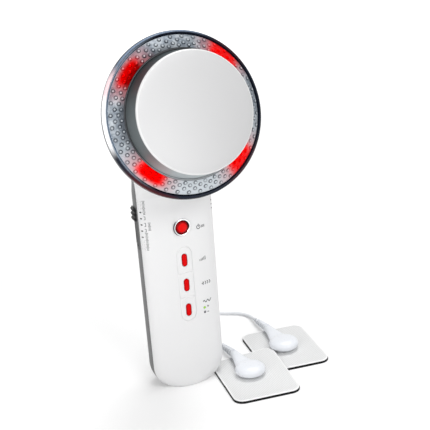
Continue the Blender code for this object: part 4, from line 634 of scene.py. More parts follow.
button = {
    "height": 0.0891, "bezel": 0.0046, "bore": 0.0035, "wall": 0.0003,
    "radius": 0.0032, "dome": 0.0011, "proud": 0.0009,
}
keys = {
    "heights": (0.0712, 0.0575, 0.0437), "top": 0.0782, "low": 0.0377, "halfWide": 0.0040, "proud": 0.0001,
    "pillHalfWide": 0.00135, "pillHalfTall": 0.00335, "pillClear": 0.00022, "pillProud": 0.0003, "pillDeep": 0.0008,
    "names": ("top", "middle", "bottom"),
}
lamps = {"x": 0.0091, "charge_light": 0.0423, "ready_light": 0.0398, "radius": 0.0006, "proud": 0.0003, "deep": 0.0025}
screws = {
    "x": 0.0125, "height": 0.0520, "radius": 0.0023, "ledge": 0.0081,
    "inner": 0.0013, "wall": 0.0008, "low": 0.0063,
}
sliders = {
    "mode": {"side": -1, "rest": 0.0967, "travel": 0.0132, "knobHalf": 0.0037, "neckHalf": 0.0021},
    "level": {"side": 1, "rest": 0.0983, "travel": 0.0043, "knobHalf": 0.0026, "neckHalf": 0.0014},
}
track = {"depth": 0.0062, "halfWide": 0.0022, "end": 0.0012}
jacks = {"power_socket": (0.0170, 0.0039), "lead_socket": (0.0310, 0.0033)}


def slideAt(slider):
    full = halfWideAt(slider["rest"] - slider["travel"] / 2)
    power, share = casing["backPower"], track["depth"] / casing["back"]
    x = full * (1 - share**power) ** (1 / power)
    lean = math.atan2(share ** (power - 1) / casing["back"], (x / full) ** (power - 1) / full)
    turn = math.pi - lean if slider["side"] < 0 else lean
    return Matrix.Translation((slider["side"] * x, track["depth"], slider["rest"])) @ Matrix.Rotation(turn, 4, "Z")


def slideSpan(slider):
    reach = slider["neckHalf"] + casing["gap"] + track["end"]
    return -slider["travel"] - reach, reach


def halfSkin(side):
    bm = bmesh.new()
    skin(bm, casingLoops(), capLast=False)
    geometry = bm.verts[:] + bm.edges[:] + bm.faces[:]
    place = (0, side * casing["gap"] / 2, 0)
    bmesh.ops.bisect_plane(bm, geom=geometry, plane_co=place, plane_no=(0, -side, 0), clear_outer=True)
    return bm


def faceHoles():
    bm = bmesh.new()
    low, high = casing["face"] - casing["wall"] - 0.002, casing["face"] + 0.003
    wide = button["bore"] + button["wall"] + casing["gap"]
    turned(bm, [(0, low), (wide, low), (wide, high), (0, high)], 72, facing(0, button["height"]))
    half = (keys["top"] - keys["low"]) / 2 + casing["gap"]
    across = keys["halfWide"] + casing["gap"]
    prism(bm, rounded(across, half, across - 0.00001, 18), low, high, facing(0, (keys["top"] + keys["low"]) / 2))
    for name in ("charge_light", "ready_light"):
        radius = lamps["radius"] + 0.0001
        profile = [(0, low - 0.002), (radius, low - 0.002), (radius, high), (0, high)]
        turned(bm, profile, 24, facing(lamps["x"], lamps[name]))
    return bm


def backHoles():
    bm = bmesh.new()
    out = casing["back"] + 0.003
    for side in (-1, 1):
        profile = [(0, screws["ledge"]), (screws["radius"], screws["ledge"]), (screws["radius"], out), (0, out)]
        turned(bm, profile, 32, backing(side * screws["x"], screws["height"]))
    for slider in sliders.values():
        low, high = slideSpan(slider)
        wide = track["halfWide"] + casing["gap"]
        box(bm, (-0.005, -wide, low - casing["gap"]), (0.003, wide, high + casing["gap"]), slideAt(slider))
    for height, nose in jacks.values():
        inner = casing["back"] - casing["wall"] - 0.003
        radius = nose + 0.00015
        turned(bm, [(0, inner), (radius, inner), (radius, out), (0, out)], 40, backing(0, height))
    return bm


def makeShell(name, side, look, holes):
    shell = piece(name, halfSkin(side), look, stands=(name.replace("casing", "shell"),), at=seam, crease=35)
    solid = shell.modifiers.new("wall", "SOLIDIFY")
    solid.thickness = casing["wall"]
    solid.offset = -1
    solid.use_even_offset = False
    carve(shell, thing(name + "_holes", holes, None, seam))
    bake(shell, 35)


def shellLook(name, colours, rough, gloss, band=None):
    look = Look(name, {"IOR": 1.5, "Specular IOR Level": gloss})
    colour = look.mix(look.noise(0.03, 3.0), *colours)
    if band:  # the darker field round the slider, on the left side
        x, y, z = look.axes()
        (low, high), (front, back), soft = band["heights"], band["depths"], 0.0006
        field = z.rise(low, low + soft) * z.fall(high, high + soft) * x.fall(-0.0150, -0.0145)
        field = field * y.fall(back, back + soft) * y.rise(front, front + soft)
        colour = look.mix(field, colour, band["colour"])
    look.finish(colour, rough + 0.06 * look.noise(0.006, 4.0))
    look.bump(look.noise(0.0004, 2.0), 0.000012, 0.6)
    return look


sliderBand = {"heights": (0.0778, 0.1003), "depths": (0.0012, 0.0108), "colour": (0.018, 0.020, 0.022)}
whiteLook = shellLook("white_shell", ((0.83, 0.83, 0.835), (0.85, 0.85, 0.855)), 0.30, 0.5)
greyLook = shellLook("grey_shell", ((0.106, 0.108, 0.110), (0.120, 0.121, 0.123)), 0.36, 0.25, sliderBand)
makeShell("front_casing", -1, whiteLook, faceHoles())
makeShell("back_casing", 1, greyLook, backHoles())


def makeSleeves():
    bm = bmesh.new()
    low, high = screws["low"], casing["back"] * 0.86
    inner, radius, outer = screws["inner"], screws["radius"], screws["radius"] + screws["wall"]
    profile = [(inner, low), (outer, low), (outer, high), (radius, high)]
    profile += [(radius, screws["ledge"]), (inner, screws["ledge"])]
    for side in (-1, 1):
        turned(bm, profile, 32, backing(side * screws["x"], screws["height"]), closed=True)
    piece("screw_sleeves", bm, greyLook, at=seam)


makeSleeves()
print("scene: casing made")

# Power button in its chrome bezel


def chromeLook():
    look = Look("chrome_trim", {"Metallic": 1.0})
    x, y, z, radius = look.polar()
    side = partial(towards, x, y, radius)
    crest = (button["bezel"] + button["bore"]) / 2
    outer, inner = radius.rise(crest, crest + 0.0003), radius.fall(crest - 0.0003, crest)
    # painted reflection: dark arcs on the chrome's left, top and right, set by the angle round the bezel
    left, top, right = side(190, 75, 40), side(95, 60, 25), side(20, 50, 15)
    dark = highest((left * outer, top * inner * 0.8, right * inner, left * inner * 0.5))
    look.finish(look.mix(dark, (0.93, 0.93, 0.94), (0.10, 0.10, 0.11)), 0.07 + 0.05 * look.noise(0.001))
    return look


def redLook():
    look = Look("red_button", {"IOR": 1.5, "Specular IOR Level": 0.12})
    away = look.polar()[3]
    # painted shade: the dome's colour darkens towards its edge
    edge = away.rise(button["radius"] * 0.62, button["radius"] * 0.80)
    deep = look.mix(look.noise(0.002), (0.80, 0.0, 0.002), (0.86, 0.003, 0.003))
    look.finish(look.mix(edge, deep, (0.36, 0.0, 0.002)), 0.26 + 0.08 * look.noise(0.0006))
    return look


def makePower():
    at = seam @ facing(0, button["height"])
    bm = bmesh.new()
    low = casing["face"] - casing["wall"]
    inner, outer = button["bore"], button["bore"] + button["wall"]
    base = casing["face"] + 0.0001
    profile = [(inner, low), (outer, low), (outer, base), (button["bezel"], base)]
    crest = (button["bezel"] + inner) / 2
    for k in range(1, 12):  # rounded crest
        angle = math.pi * k / 12
        x = crest + (button["bezel"] - crest) * math.cos(angle)
        profile.append((x, base + 0.0002 + button["proud"] * 0.85 * math.sin(angle)))
    profile.append((inner, base))
    turned(bm, profile, 96, Matrix(), closed=True)
    piece("chrome_bezel", bm, chromeLook(), stands=("power_bezel",), at=at)
    bm = bmesh.new()
    radius, low = button["radius"], low - 0.0008
    edge = casing["face"] + button["proud"] / 2 - 0.0002
    dome = button["dome"] + 0.0002
    profile = [(0, low), (radius, low), (radius, edge)]
    for k in range(1, 16):
        angle = math.pi / 2 * k / 16
        profile.append((radius * math.cos(angle) ** 0.9, edge + dome * math.sin(angle)))
    profile.append((0, edge + dome))
    turned(bm, profile, 80, Matrix())
    piece("power_dome", bm, redLook(), "power_button", ("power_button",), at)


makePower()

# Key strip: three caps with a hairline round them, and a red pill in each


def keyEnds():
    top, middle, low = keys["heights"]
    first, second, gap = (top + middle) / 2, (middle + low) / 2, casing["gap"] / 2
    return ((first + gap, keys["top"]), (second + gap, first - gap), (keys["low"], second - gap))


def keyOutline(low, high, roundTop, roundLow, inset):
    half, reach = keys["halfWide"] - inset, keys["halfWide"]
    top = [(half, high - inset), (-half, high - inset)]
    base = [(-half, low + inset), (half, low + inset)]
    if roundTop:
        top = arc(0, high - reach, half, 0, 180, 20)
    if roundLow:
        base = arc(0, low + reach, half, 180, 360, 20)
    return top + base


def capLoops(bm, outlines):  # a closed stack of outlines at their heights
    skin(bm, [[Vector((x, y, z)) for x, y in outline] for outline, z in outlines])


def pillLook():
    look = Look("red_pill", {"IOR": 1.5, "Specular IOR Level": 0.08})
    x, y, z = look.axes()
    beyond = (abs(y) - (keys["pillHalfTall"] - keys["pillHalfWide"])).most(0.0)
    # painted shade: each pill darkens towards its rim
    edge = distance(x, beyond).rise(keys["pillHalfWide"] * 0.45, keys["pillHalfWide"])
    look.finish(look.mix(edge, (0.74, 0.0, 0.001), (0.50, 0.0, 0.003)), 0.26 + 0.08 * look.noise(0.0006))
    return look


def makeKeys():
    pillFinish = pillLook()
    top = casing["face"] + keys["proud"]
    low = casing["face"] - casing["wall"] + 0.0003
    for index, (name, height) in enumerate(zip(keys["names"], keys["heights"])):
        start, end = (value - height for value in keyEnds()[index])
        kinds = (index == 0, index == 2)
        at = seam @ facing(0, height)
        bm = bmesh.new()
        rows = (
            (-0.00024, low), (-0.00024, top - 0.00030), (0.0, top - 0.00026), (0.0, top - 0.00014),
            (0.00005, top - 0.00005), (0.00014, top), (0.00040, top),
        )
        capLoops(bm, [(keyOutline(start, end, *kinds, inset), z) for inset, z in rows])
        body = "key_" + name
        cap = piece(body + "_cap", bm, whiteLook, body, ("key_cap_" + name,), at, crease=50)
        bm = bmesh.new()
        wide, tall = keys["pillHalfWide"] + keys["pillClear"], keys["pillHalfTall"] + keys["pillClear"]
        prism(bm, rounded(wide, tall, wide - 0.00001, 12), top - 0.0007, top + 0.002)
        carve(cap, thing(body + "_recess", bm, None, at))
        bake(cap, 50)
        bm = bmesh.new()
        stack = []
        for inset, rise in ((0, -keys["pillDeep"]), (0, 0.00005), (0.00008, 0.0002), (0.00028, keys["pillProud"])):
            wide = keys["pillHalfWide"] - inset
            stack.append((rounded(wide, keys["pillHalfTall"] - inset, wide - 0.00001, 12), top + rise))
        capLoops(bm, stack)
        piece(body + "_pill", bm, pillFinish, body, ("key_insert_" + name,), at, crease=50)


makeKeys()

# Indicator lights and the plain marks on the white face


def lampLook(name, core, rim, glow):
    look = Look(name, {"IOR": 1.5, "Roughness": 0.15, "Emission Strength": 1.0})
    away = look.polar()[3].rise(0.0, lamps["radius"])
    look.feed("Base Color", look.mix(away, core, rim))
    look.feed("Emission Color", look.mix(away, tuple(c * glow for c in core), grey(0.0)))
    return look


def makeLamps():
    looks = {
        "charge_light": (lampLook("green_light", (0.30, 0.70, 0.03), (0.25, 0.50, 0.05), 0.35), "green_light"),
        "ready_light": (lampLook("dark_light", (0.10, 0.10, 0.11), (0.22, 0.22, 0.23), 0.0), "dark_light"),
    }
    for name, (look, slot) in looks.items():
        surface, radius = faceDepth(lamps["x"], lamps[name]), lamps["radius"] + 0.0001
        profile = [(0, lamps["deep"]), (radius, lamps["deep"]), (radius, surface)]
        profile += [(radius * math.cos(a), surface + lamps["proud"] * math.sin(a)) for a in (0.3, 0.6, 0.9, 1.2)]
        profile.append((0, surface + lamps["proud"]))
        bm = bmesh.new()
        turned(bm, profile, 32, Matrix())
        at = seam @ facing(lamps["x"], lamps[name])
        piece(name + "_dome", bm, look, stands=(name,), at=at)


marks = {
    "line": 0.00036, "dot": 0.00038, "proud": 0.00004, "sunk": 0.00010, "tick": 0.0010,
    "dots": ((-0.0192, (0.0996, 0.0963, 0.0930, 0.0897, 0.0864)), (0.0188, (0.0983, 0.0961, 0.0940))),
    "scales": (
        (-0.0193, 0.1062, 0.1012, 9), (-0.0178, 0.1056, 0.0986, 12), (-0.0192, 0.0850, 0.0792, 10),
        (-0.0176, 0.0886, 0.0796, 15), (-0.0160, 0.0940, 0.0902, 7),
    ),
    "brackets": ((0.0958, 0.0974), (0.0922, 0.0940), (0.0893, 0.0908)), "bracketSides": (-0.0181, -0.0176),
    "power": (0.0093, 0.0869), "bars": (0.0086, 0.0686), "rays": (0.0088, 0.0559), "wave": (0.0086, 0.0457),
    "plus": (0.0112, 0.0426), "minus": (0.0111, 0.0395),
}


def onFace(x, height, lift):
    return Vector((x, -faceDepth(x, height) - lift, height))


def markPatch(bm, outline):
    skin(bm, [[onFace(x, z, lift) for x, z in outline] for lift in (-marks["sunk"], marks["proud"])])


def markDot(bm, x, z, radius):
    markPatch(bm, arc(x, z, radius, 0, 360, 14)[:-1])


def markLine(bm, points, width):
    half = width / 2
    for (ax, az), (bx, bz) in zip(points, points[1:]):
        way = Vector((bx - ax, bz - az)).normalized()
        side = Vector((-way.y, way.x)) * half
        ax, az, bx, bz = ax - way.x * half, az - way.y * half, bx + way.x * half, bz + way.y * half
        count = max(round(math.hypot(bx - ax, bz - az) / 0.001), 1)
        edge = [(ax + (bx - ax) * k / count, az + (bz - az) * k / count) for k in range(count + 1)]
        outline = [(x + side.x, z + side.y) for x, z in edge] + [(x - side.x, z - side.y) for x, z in edge[::-1]]
        markPatch(bm, outline)


def markRow(bm, x, high, low, count):  # an upright scale of short ticks
    for k in range(count):
        z = high + (low - high) * k / (count - 1)
        half = marks["tick"] / 2 * (0.75 + 0.25 * math.cos(2.1 * k))
        markLine(bm, [(x - half, z), (x + half, z)], marks["line"] * 0.75)


def markStrokes():  # the points of each stroke, and its share of the line's width
    inner, outer = marks["bracketSides"]
    strokes = [([(inner, high), (outer, high), (outer, low), (inner, low)], 0.6) for low, high in marks["brackets"]]
    x, z = marks["power"]  # a ring with a bar, and ticks
    strokes += [(arc(x, z, 0.0010, 125, 415, 16), 1), ([(x, z + 0.0002), (x, z + 0.0015)], 1)]
    for tick in (x + 0.0019, x + 0.0026, x + 0.0033):
        strokes.append(([(tick, z - 0.0006), (tick, z + 0.0004)], 1))
    x, z = marks["bars"]  # top key: bars that grow
    strokes += [([(x + 0.0008 * k, z), (x + 0.0008 * k, z + 0.0005 + 0.0003 * k)], 1) for k in range(5)]
    x, z = marks["rays"]  # middle key: rays from a dot
    strokes += [(arc(x + 0.0013 * k, z, 0.0009, 55, -55, 8), 1) for k in range(4)]
    x, z = marks["wave"]  # lowest key: a wave
    strokes.append(([(x + 0.0003 * k, z + 0.0006 * math.sin(math.tau * k / 7)) for k in range(17)], 1))
    x, z = marks["plus"]
    strokes += [([(x - 0.0004, z), (x + 0.0004, z)], 0.9), ([(x, z - 0.0004), (x, z + 0.0004)], 0.9)]
    x, z = marks["minus"]
    strokes.append(([(x - 0.0004, z), (x + 0.0004, z)], 0.9))
    return strokes


def makeMarks():
    bm = bmesh.new()
    for x, heights in marks["dots"]:
        for z in heights:
            markDot(bm, x, z, marks["dot"])
    x, z = marks["rays"]
    markDot(bm, x + 0.0001, z, marks["line"])
    for scale in marks["scales"]:
        markRow(bm, *scale)
    for points, share in markStrokes():
        markLine(bm, points, marks["line"] * share)
    look = Look("mark_print", {"IOR": 1.45, "Specular IOR Level": 0.2})
    ink = look.mix(look.noise(0.0008), (0.07, 0.07, 0.075), (0.13, 0.13, 0.14))
    look.finish(ink, 0.5 + 0.1 * look.noise(0.002))
    piece("face_marks", bm, look, at=seam, crease=60)


makeLamps()
makeMarks()
print("scene: controls made")

# Head: clear ring with its bumps and painted red glow, seal and satin disc

ring = {
    "footRadii": (0.0365, 0.0380), "footHeight": -0.0057, "swell": 0.0020,
    "roll": (0.03885, 0.0002), "rollHalf": (0.00115, 0.0024), "lip": (0.03768, 0.0019),
    "fieldRadius": 0.03765, "fieldLow": 0.0023, "crown": 0.28, "bore": 0.0312, "boreHigh": 0.0061,
    "thick": 0.0014, "hollowRadii": (0.0345, 0.0371), "hollowEnd": [(0.0379, 0.0), (0.0375, -0.0026)],
    "bumps": 40, "bumpRadius": 0.00100, "bumpTall": 0.00050, "bumpSunk": 0.0004,
    "rows": ((0.03660, 0.0), (0.03495, 0.5), (0.03340, 0.0), (0.03225, 0.5)), "glows": (45, 136, 226, 312),
}


def ringHeight(radius):  # the field's surface, gently crowned, from its outer edge to its bore
    share = (ring["fieldRadius"] - radius) / (ring["fieldRadius"] - ring["bore"])
    share = min(max(share, 0), 1)
    return ring["fieldLow"] + (ring["boreHigh"] - ring["fieldLow"]) * share * (1 + ring["crown"] * (1 - share))


def ringProfile():
    (inside, foot), base = ring["footRadii"], ring["footHeight"]
    profile = [(inside, base), (foot, base)]
    for k in range(1, 8):  # flank that swells to the widest plane
        profile.append((foot + ring["swell"] * math.sin(math.pi / 2 * k / 8), base * (1 - k / 8)))
    (middle, low), (wide, tall) = ring["roll"], ring["rollHalf"]
    for k in range(15):  # rolled rim
        angle = math.pi * 0.93 * k / 14
        profile.append((middle + wide * math.cos(angle), low + tall * math.sin(angle) ** 0.9))
    profile.append(ring["lip"])
    span = ring["fieldRadius"] - ring["bore"]
    field = [ring["fieldRadius"] - span * k / 12 for k in range(13)]
    profile += [(radius, ringHeight(radius)) for radius in field]
    hollow = (ring["bore"], *ring["hollowRadii"])
    return profile + [(radius, ringHeight(radius) - ring["thick"]) for radius in hollow] + ring["hollowEnd"]


def lensLook():
    look = Look("smoky_lens", {"IOR": 1.5, "Specular IOR Level": 0.16, "Emission Strength": 1.0})
    x, y, z, radius = look.polar()
    side = partial(towards, x, y, radius)
    rim = radius.rise(ring["fieldRadius"] - 0.00010, ring["fieldRadius"] + 0.00005).most(z.fall(0.0002, 0.0006))
    left = x.fall(-0.008, 0.008)
    size = ring["bumpRadius"]
    angle = y.bearing(x) * (ring["bumps"] / math.tau)
    edges, paintedBumpHighlights = [], []
    for rowRadius, offset in ring["rows"]:  # painted shade on each bump's edge, darker towards the disc, and a painted highlight in its middle
        across = ((angle + (offset + 0.5)).fraction() - 0.5) * (math.tau * rowRadius / ring["bumps"])
        outward = (radius - rowRadius) * 1.12
        edge = abs(distance(across, outward) - size * 0.78).fall(size * 0.12, size * 0.42)
        edges.append(edge * (0.80 - outward * 180.0))
        paintedBumpHighlights.append(distance(across, outward - size * 0.15).fall(size * 0.10, size * 0.62))
    paintedBumpShade, core = highest(edges), highest(paintedBumpHighlights)
    # painted glow: the red light of the lamps beneath, painted into the lens's colour and emission
    glow = highest(side(degrees, 20, 1) for degrees in ring["glows"])
    haze = highest(side(degrees, 29, 9) for degrees in ring["glows"])
    inwards = radius.fall(0.0345, 0.0392).most((1 - left) * 0.9)
    red = (glow * (0.15 + 0.90 * inwards) + (look.noise(0.0025) - 0.5) * 0.14).rise(0.05, 1.0) ** 1.6
    # what lies under the clear field: mottled silver, with painted light towards the bottom and a painted shadow of
    # the disc on the left
    fleck, cloud = look.noise(0.0006, 3.0), look.noise(0.005, 3.0)
    # painted light: the field is lighter towards the bottom
    low = y.fall(-0.026, 0.0)
    silverAndPaintedLight = look.mix(fleck.rise(0.3, 0.7), (0.20, 0.235, 0.275), (0.42, 0.47, 0.52))
    silverAndPaintedLight = look.mix(cloud.fall(0.46, 0.30) * (1 - low) * 0.7, silverAndPaintedLight, (0.13, 0.155, 0.19))
    silverAndPaintedLight = look.mix((cloud.rise(0.40, 0.72) * 0.6).most(low * 0.85), silverAndPaintedLight, (0.74, 0.79, 0.83))
    # painted shadow of the disc wall on the field's left side
    silverAndPaintedLight = look.mix(radius.fall(0.0318, 0.0345) * left * (1 - low) * 0.75, silverAndPaintedLight, (0.07, 0.08, 0.095))
    # painted glow spilling onto the silver
    silverAndPaintedLight = look.mix(haze * (0.20 + 0.30 * inwards), silverAndPaintedLight, (0.66, 0.15, 0.16))
    mark = look.noise(0.003, 2.0).rise(0.30, 0.62) * 0.5 + 0.5
    # painted shade round the bumps, then their painted highlights
    silverAndPaintedLight = look.mix(paintedBumpShade * mark, silverAndPaintedLight, (0.030, 0.038, 0.05))
    silverAndPaintedLight = look.mix(core * 0.7 * mark, silverAndPaintedLight, (0.66, 0.70, 0.74))
    # painted shade: the glow is darker near the disc on the upper left
    shaded = left * y.rise(-0.010, 0.010)
    glowColour = look.mix(shaded, (0.80, 0.0, 0.0), (0.60, 0.0, 0.0))
    glowColour = look.mix(shaded * radius.fall(0.0322, 0.0345), glowColour, (0.22, 0.0, 0.0))
    lit = look.mix(red, silverAndPaintedLight, glowColour)
    # painted shade of the bumps, dark red inside the painted glow
    lit = look.mix(paintedBumpShade * red * 0.35, lit, (0.20, 0.0, 0.0))
    # the rim's dark roll, with painted reflections and a painted highlight on it
    rollRadius, rollHeight = ring["roll"]
    turn = (z - rollHeight).bearing(radius - rollRadius)
    # painted reflections: streaks round the rim's roll, and light stripes on its top and upper left
    lines = (turn * 7.0 + look.noise(0.02)).sine().rise(0.1, 0.9)
    navy = look.mix(look.noise(0.008), (0.004, 0.006, 0.014), (0.010, 0.016, 0.032))
    # painted glow: red light of the lamps spilling onto the rim's roll
    paintedGlowSpill = highest((side(232, 24, 8), side(312, 22, 8) * 0.8, side(42, 18, 6) * 0.7))
    navy = look.mix(paintedGlowSpill * turn.fall(1.1, 2.0) * 0.85, navy, (0.085, 0.001, 0.002))
    top = side(104, 50, 18) * abs(turn - 1.30).fall(0.10, 0.32)
    corner = side(137, 26, 10) * lines
    # painted highlight: a white band along the left of the rim, pink near the upper-left glow
    band = side(168, 34, 18) * abs(turn - 0.95).fall(0.50, 0.85)
    # painted reflection: a pale inner side on the left
    inner = side(168, 70, 34) * turn.rise(1.45, 1.9)
    navy = look.mix(top.most(corner * 0.45) * 0.6, navy, (0.34, 0.45, 0.62))
    navy = look.mix(inner * 0.85, navy, (0.50, 0.60, 0.72))
    paintedPinkGlint = side(147, 16, 6)
    navy = look.mix(band, navy, look.mix(paintedPinkGlint * 0.7, (0.97, 0.98, 1.0), (0.88, 0.50, 0.54)))
    look.feed("Base Color", look.mix(rim, lit, navy))
    # the painted glow also feeds the emission
    glowing = look.mix(red * (1 - rim) * (1 - shaded * 0.8) * 0.07, grey(0.0), (1.0, 0.0, 0.0))
    # the painted highlight also glows through the emission
    look.feed("Emission Color", look.mix(rim * band * (1 - paintedPinkGlint * 0.6), glowing, grey(0.34)))
    look.feed("Roughness", 0.34 - 0.24 * rim)
    look.feed("Alpha", 1.0 - (1 - rim) * (1 - red) * 0.12)
    look.feed("Metallic", (0.2 + 0.8 * red) * (1 - rim))
    look.bump(look.noise(0.0004, 2.0), 0.00002, 0.5)
    return look


def makeLens():
    bm = bmesh.new()
    around(bm, ringProfile(), 192)
    size, tall, low = ring["bumpRadius"], ring["bumpTall"], -ring["bumpSunk"]
    bump = [(0, low), (size, low)]
    for angle in (math.pi / 2 * k / 5 for k in range(5)):
        bump.append((size * math.cos(angle), tall * math.sin(angle)))
    bump.append((0, tall))
    for rowRadius, offset in ring["rows"]:
        lean = math.atan((ringHeight(rowRadius - 0.0005) - ringHeight(rowRadius + 0.0005)) / 0.001)
        seat = Matrix.Translation((rowRadius, 0, ringHeight(rowRadius))) @ Matrix.Rotation(lean, 4, "Y")
        for k in range(ring["bumps"]):
            turn = math.tau * (k - offset) / ring["bumps"]
            turned(bm, bump, 16, Matrix.Rotation(turn, 4, "Z") @ seat)
    piece("clear_ring", bm, lensLook(), stands=("lens_ring",), at=ringAt, crease=30)


def discLook():
    look = Look("satin_disc", {"IOR": 1.5, "Specular IOR Level": 0.3, "Coat Roughness": 0.3})
    x, y, z, radius = look.polar()
    side = z.fall(0.0160, 0.0168) * radius.rise(0.0270, 0.0280)
    # painted shade and reflection: the wall is dark at the top and left and lighter towards the bottom, with a cool
    # tint there against the red glow
    wall = look.mix(y.rise(-0.029, -0.014), (0.48, 0.53, 0.54), (0.135, 0.155, 0.16))
    wall = look.mix(y.rise(-0.002, 0.022), wall, (0.025, 0.034, 0.036))
    brushed = look.noise(0.0004, 2.0, look.stretched((1.0, 8.0, 1.0)))
    # painted light: the face is lighter on the left and darker on the right
    face = look.mix(x.rise(-0.030, 0.032), (0.70, 0.70, 0.705), (0.52, 0.52, 0.525))
    # painted shade: darker towards the top
    face = look.mix(y.rise(-0.024, 0.020) * 0.45, face, (0.54, 0.54, 0.545))
    face = look.mix(brushed * 0.08, face, (0.50, 0.50, 0.505))
    # painted highlight along the face's outer edge
    face = look.mix(radius.rise(0.0280, 0.0286) * 0.7, face, grey(0.88))
    look.finish(look.mix(side, face, wall), 0.38 + 0.05 * brushed)
    look.feed("Metallic", 0.15 * (1 - side))
    look.feed("Coat Weight", 0.08 * (1 - side))
    return look


def sealLook():
    look = Look("seal_rubber", {"IOR": 1.45, "Specular IOR Level": 0.3})
    # painted light: the seal is lighter towards the bottom
    shade = look.axes()[1].fall(-0.030, -0.010)
    grain = look.mix(look.noise(0.001), (0.05, 0.053, 0.058), (0.08, 0.084, 0.09))
    look.finish(look.mix(shade, grain, (0.42, 0.44, 0.46)), 0.5 + 0.2 * look.noise(0.0006))
    return look


disc = {
    "face": 0.0290, "top": 0.0176, "base": 0.0302, "baseHigh": 0.0064, "low": 0.0032, "edge": 0.0010,
    "flange": 0.0326, "flangeLow": 0.0022, "wall": 0.0013,
}
gasket = (  # radius and height, round the lip that hugs the disc
    (0.0305, 0.0035), (0.0326, 0.0035), (0.0326, 0.0039), (0.0310, 0.0039),
    (0.0310, 0.0060), (0.0306, 0.0063), (0.0303, 0.0060),
)


def makeDisc():
    top, face, base, edge, wall = (disc[name] for name in ("top", "face", "base", "edge", "wall"))
    inner = top - wall
    profile = [(0, inner), (face - wall * 1.6, inner), (face - wall, inner - 0.0008)]
    profile += [(base - wall, disc["flangeLow"]), (disc["flange"], disc["flangeLow"])]
    profile += [(disc["flange"], disc["low"]), (base, disc["low"]), (base, disc["baseHigh"])]
    profile += arc(face - edge, top - edge, edge, 0, 90, 8)
    profile += [(face * share, top) for share in (0.85, 0.6, 0.3, 0)]
    bm = bmesh.new()
    around(bm, profile, 180, closed=False)
    piece("satin_disc", bm, discLook(), stands=("treatment_disc",), at=ringAt, crease=35)
    bm = bmesh.new()
    around(bm, gasket, 128)
    piece("disc_gasket", bm, sealLook(), stands=("disc_seal",), at=ringAt)


makeLens()
makeDisc()
print("scene: head made")

# Electrode pads: black gel, pale woven cover

pads = {
    "near": {"place": (0.0300, -0.0189), "raised": True},
    "far": {"place": (0.0586, 0.0018), "raised": False},
}
padShape = {
    "half": (0.0180, 0.0240), "corner": 0.0055, "turn": math.radians(-8), "gel": 0.0010, "cloth": 0.0004,
    "gap": 0.0003, "sunk": 0.00015, "margin": 0.0003, "run": 0.0030, "clear": 0.0006,
}


def padLift(x, y):  # how far the raised pad bends up where it lies on the other
    apart = Vector(pads["far"]["place"]) - Vector(pads["near"]["place"])
    apart = Matrix.Rotation(-padShape["turn"], 2) @ apart
    rise = padShape["gel"] + padShape["gap"] + padShape["cloth"] + padShape["gap"]
    for value, way, half in zip((x, y), apart, padShape["half"]):
        rise *= eased((value - (way - half - padShape["clear"])) / padShape["run"] + 1)
    return rise


def padSolid(wide, tall, corner, rows, raised):  # rows of inset and height, from the low middle round to the top
    outline = rounded(wide, tall, corner, 10)
    shares = (0.06, 0.2, 0.35, 0.5, 0.62, 0.72, 0.8, 0.87, 0.93, 0.97)
    loops = [[(x * s, y * s, rows[0][1]) for x, y in outline] for s in shares]
    loops += [[(x * (1 - inset / wide), y * (1 - inset / tall), z) for x, y in outline] for inset, z in rows]
    loops += [[(x * s, y * s, rows[-1][1]) for x, y in outline] for s in shares[::-1]]
    bm = bmesh.new()
    skin(bm, loops)
    for vert in bm.verts if raised else ():
        vert.co.z += padLift(vert.co.x, vert.co.y)
    return bm


def clothLook():
    look = Look("pad_cloth", {"Specular IOR Level": 0.2, "Sheen Weight": 0.1, "Sheen Roughness": 0.5})
    x, y, z = look.axes()
    corner = padShape["corner"]
    beyond = [(abs(along) - (half - corner)).most(0.0) for along, half in zip((x, y), padShape["half"])]
    border = distance(*beyond).rise(corner - 0.0013, corner - 0.0008)
    pitch = math.tau / 0.0016
    one, two = ((x + y * 0.8) * pitch).sine(), ((x - y * 0.8) * pitch).sine()
    weave = (one * two) * 0.5 + 0.5
    fuzz = look.noise(0.0003, 3.0)
    body = look.mix(weave.rise(0.15, 0.85), (0.62, 0.625, 0.625), (0.90, 0.905, 0.905))
    body = look.mix(fuzz * 0.3, body, grey(0.80))
    look.finish(look.mix(border, body, grey(0.92)), 0.82 + 0.12 * fuzz)
    look.bump((weave * 0.8 + fuzz * 0.4) * (1 - border), 0.00012, 0.8)
    return look


def gelLook():
    look = Look("pad_gel", {"IOR": 1.45, "Specular IOR Level": 0.15})
    gel = look.mix(look.noise(0.002), (0.004, 0.004, 0.005), (0.010, 0.010, 0.011))
    look.finish(gel, 0.35 + 0.2 * look.noise(0.001))
    return look


def makePads():
    cloth, gel = clothLook(), gelLook()
    (wide, tall), high, margin = padShape["half"], padShape["gel"], padShape["margin"]
    gelRows = [(0.00020, 0.0), (0.00004, 0.00012), (0.0, high * 0.5)]
    gelRows += [(0.00004, high - 0.00012), (0.00018, high + 0.0001)]
    low = high + padShape["gap"] - padShape["sunk"]
    top = high + padShape["gap"] + padShape["cloth"]
    clothRows = [(0.0001, low), (0.0, low + 0.0001), (0.0, top - 0.00022), (0.00008, top - 0.00008), (0.00025, top)]
    for name, pad in pads.items():
        at = Matrix.Translation((*pad["place"], 0)) @ Matrix.Rotation(padShape["turn"], 4, "Z")
        sheet = padSolid(wide, tall, padShape["corner"], gelRows, pad["raised"])
        piece(name + "_gel_sheet", sheet, gel, stands=(name + "_pad_gel",), at=at, crease=60)
        cover = padSolid(wide - margin, tall - margin, padShape["corner"] - margin, clothRows, pad["raised"])
        made = piece(name + "_cover", cover, cloth, stands=(name + "_pad_cloth",), at=at, crease=60)


makePads()

# Snap connectors with their necks and ribbed reliefs


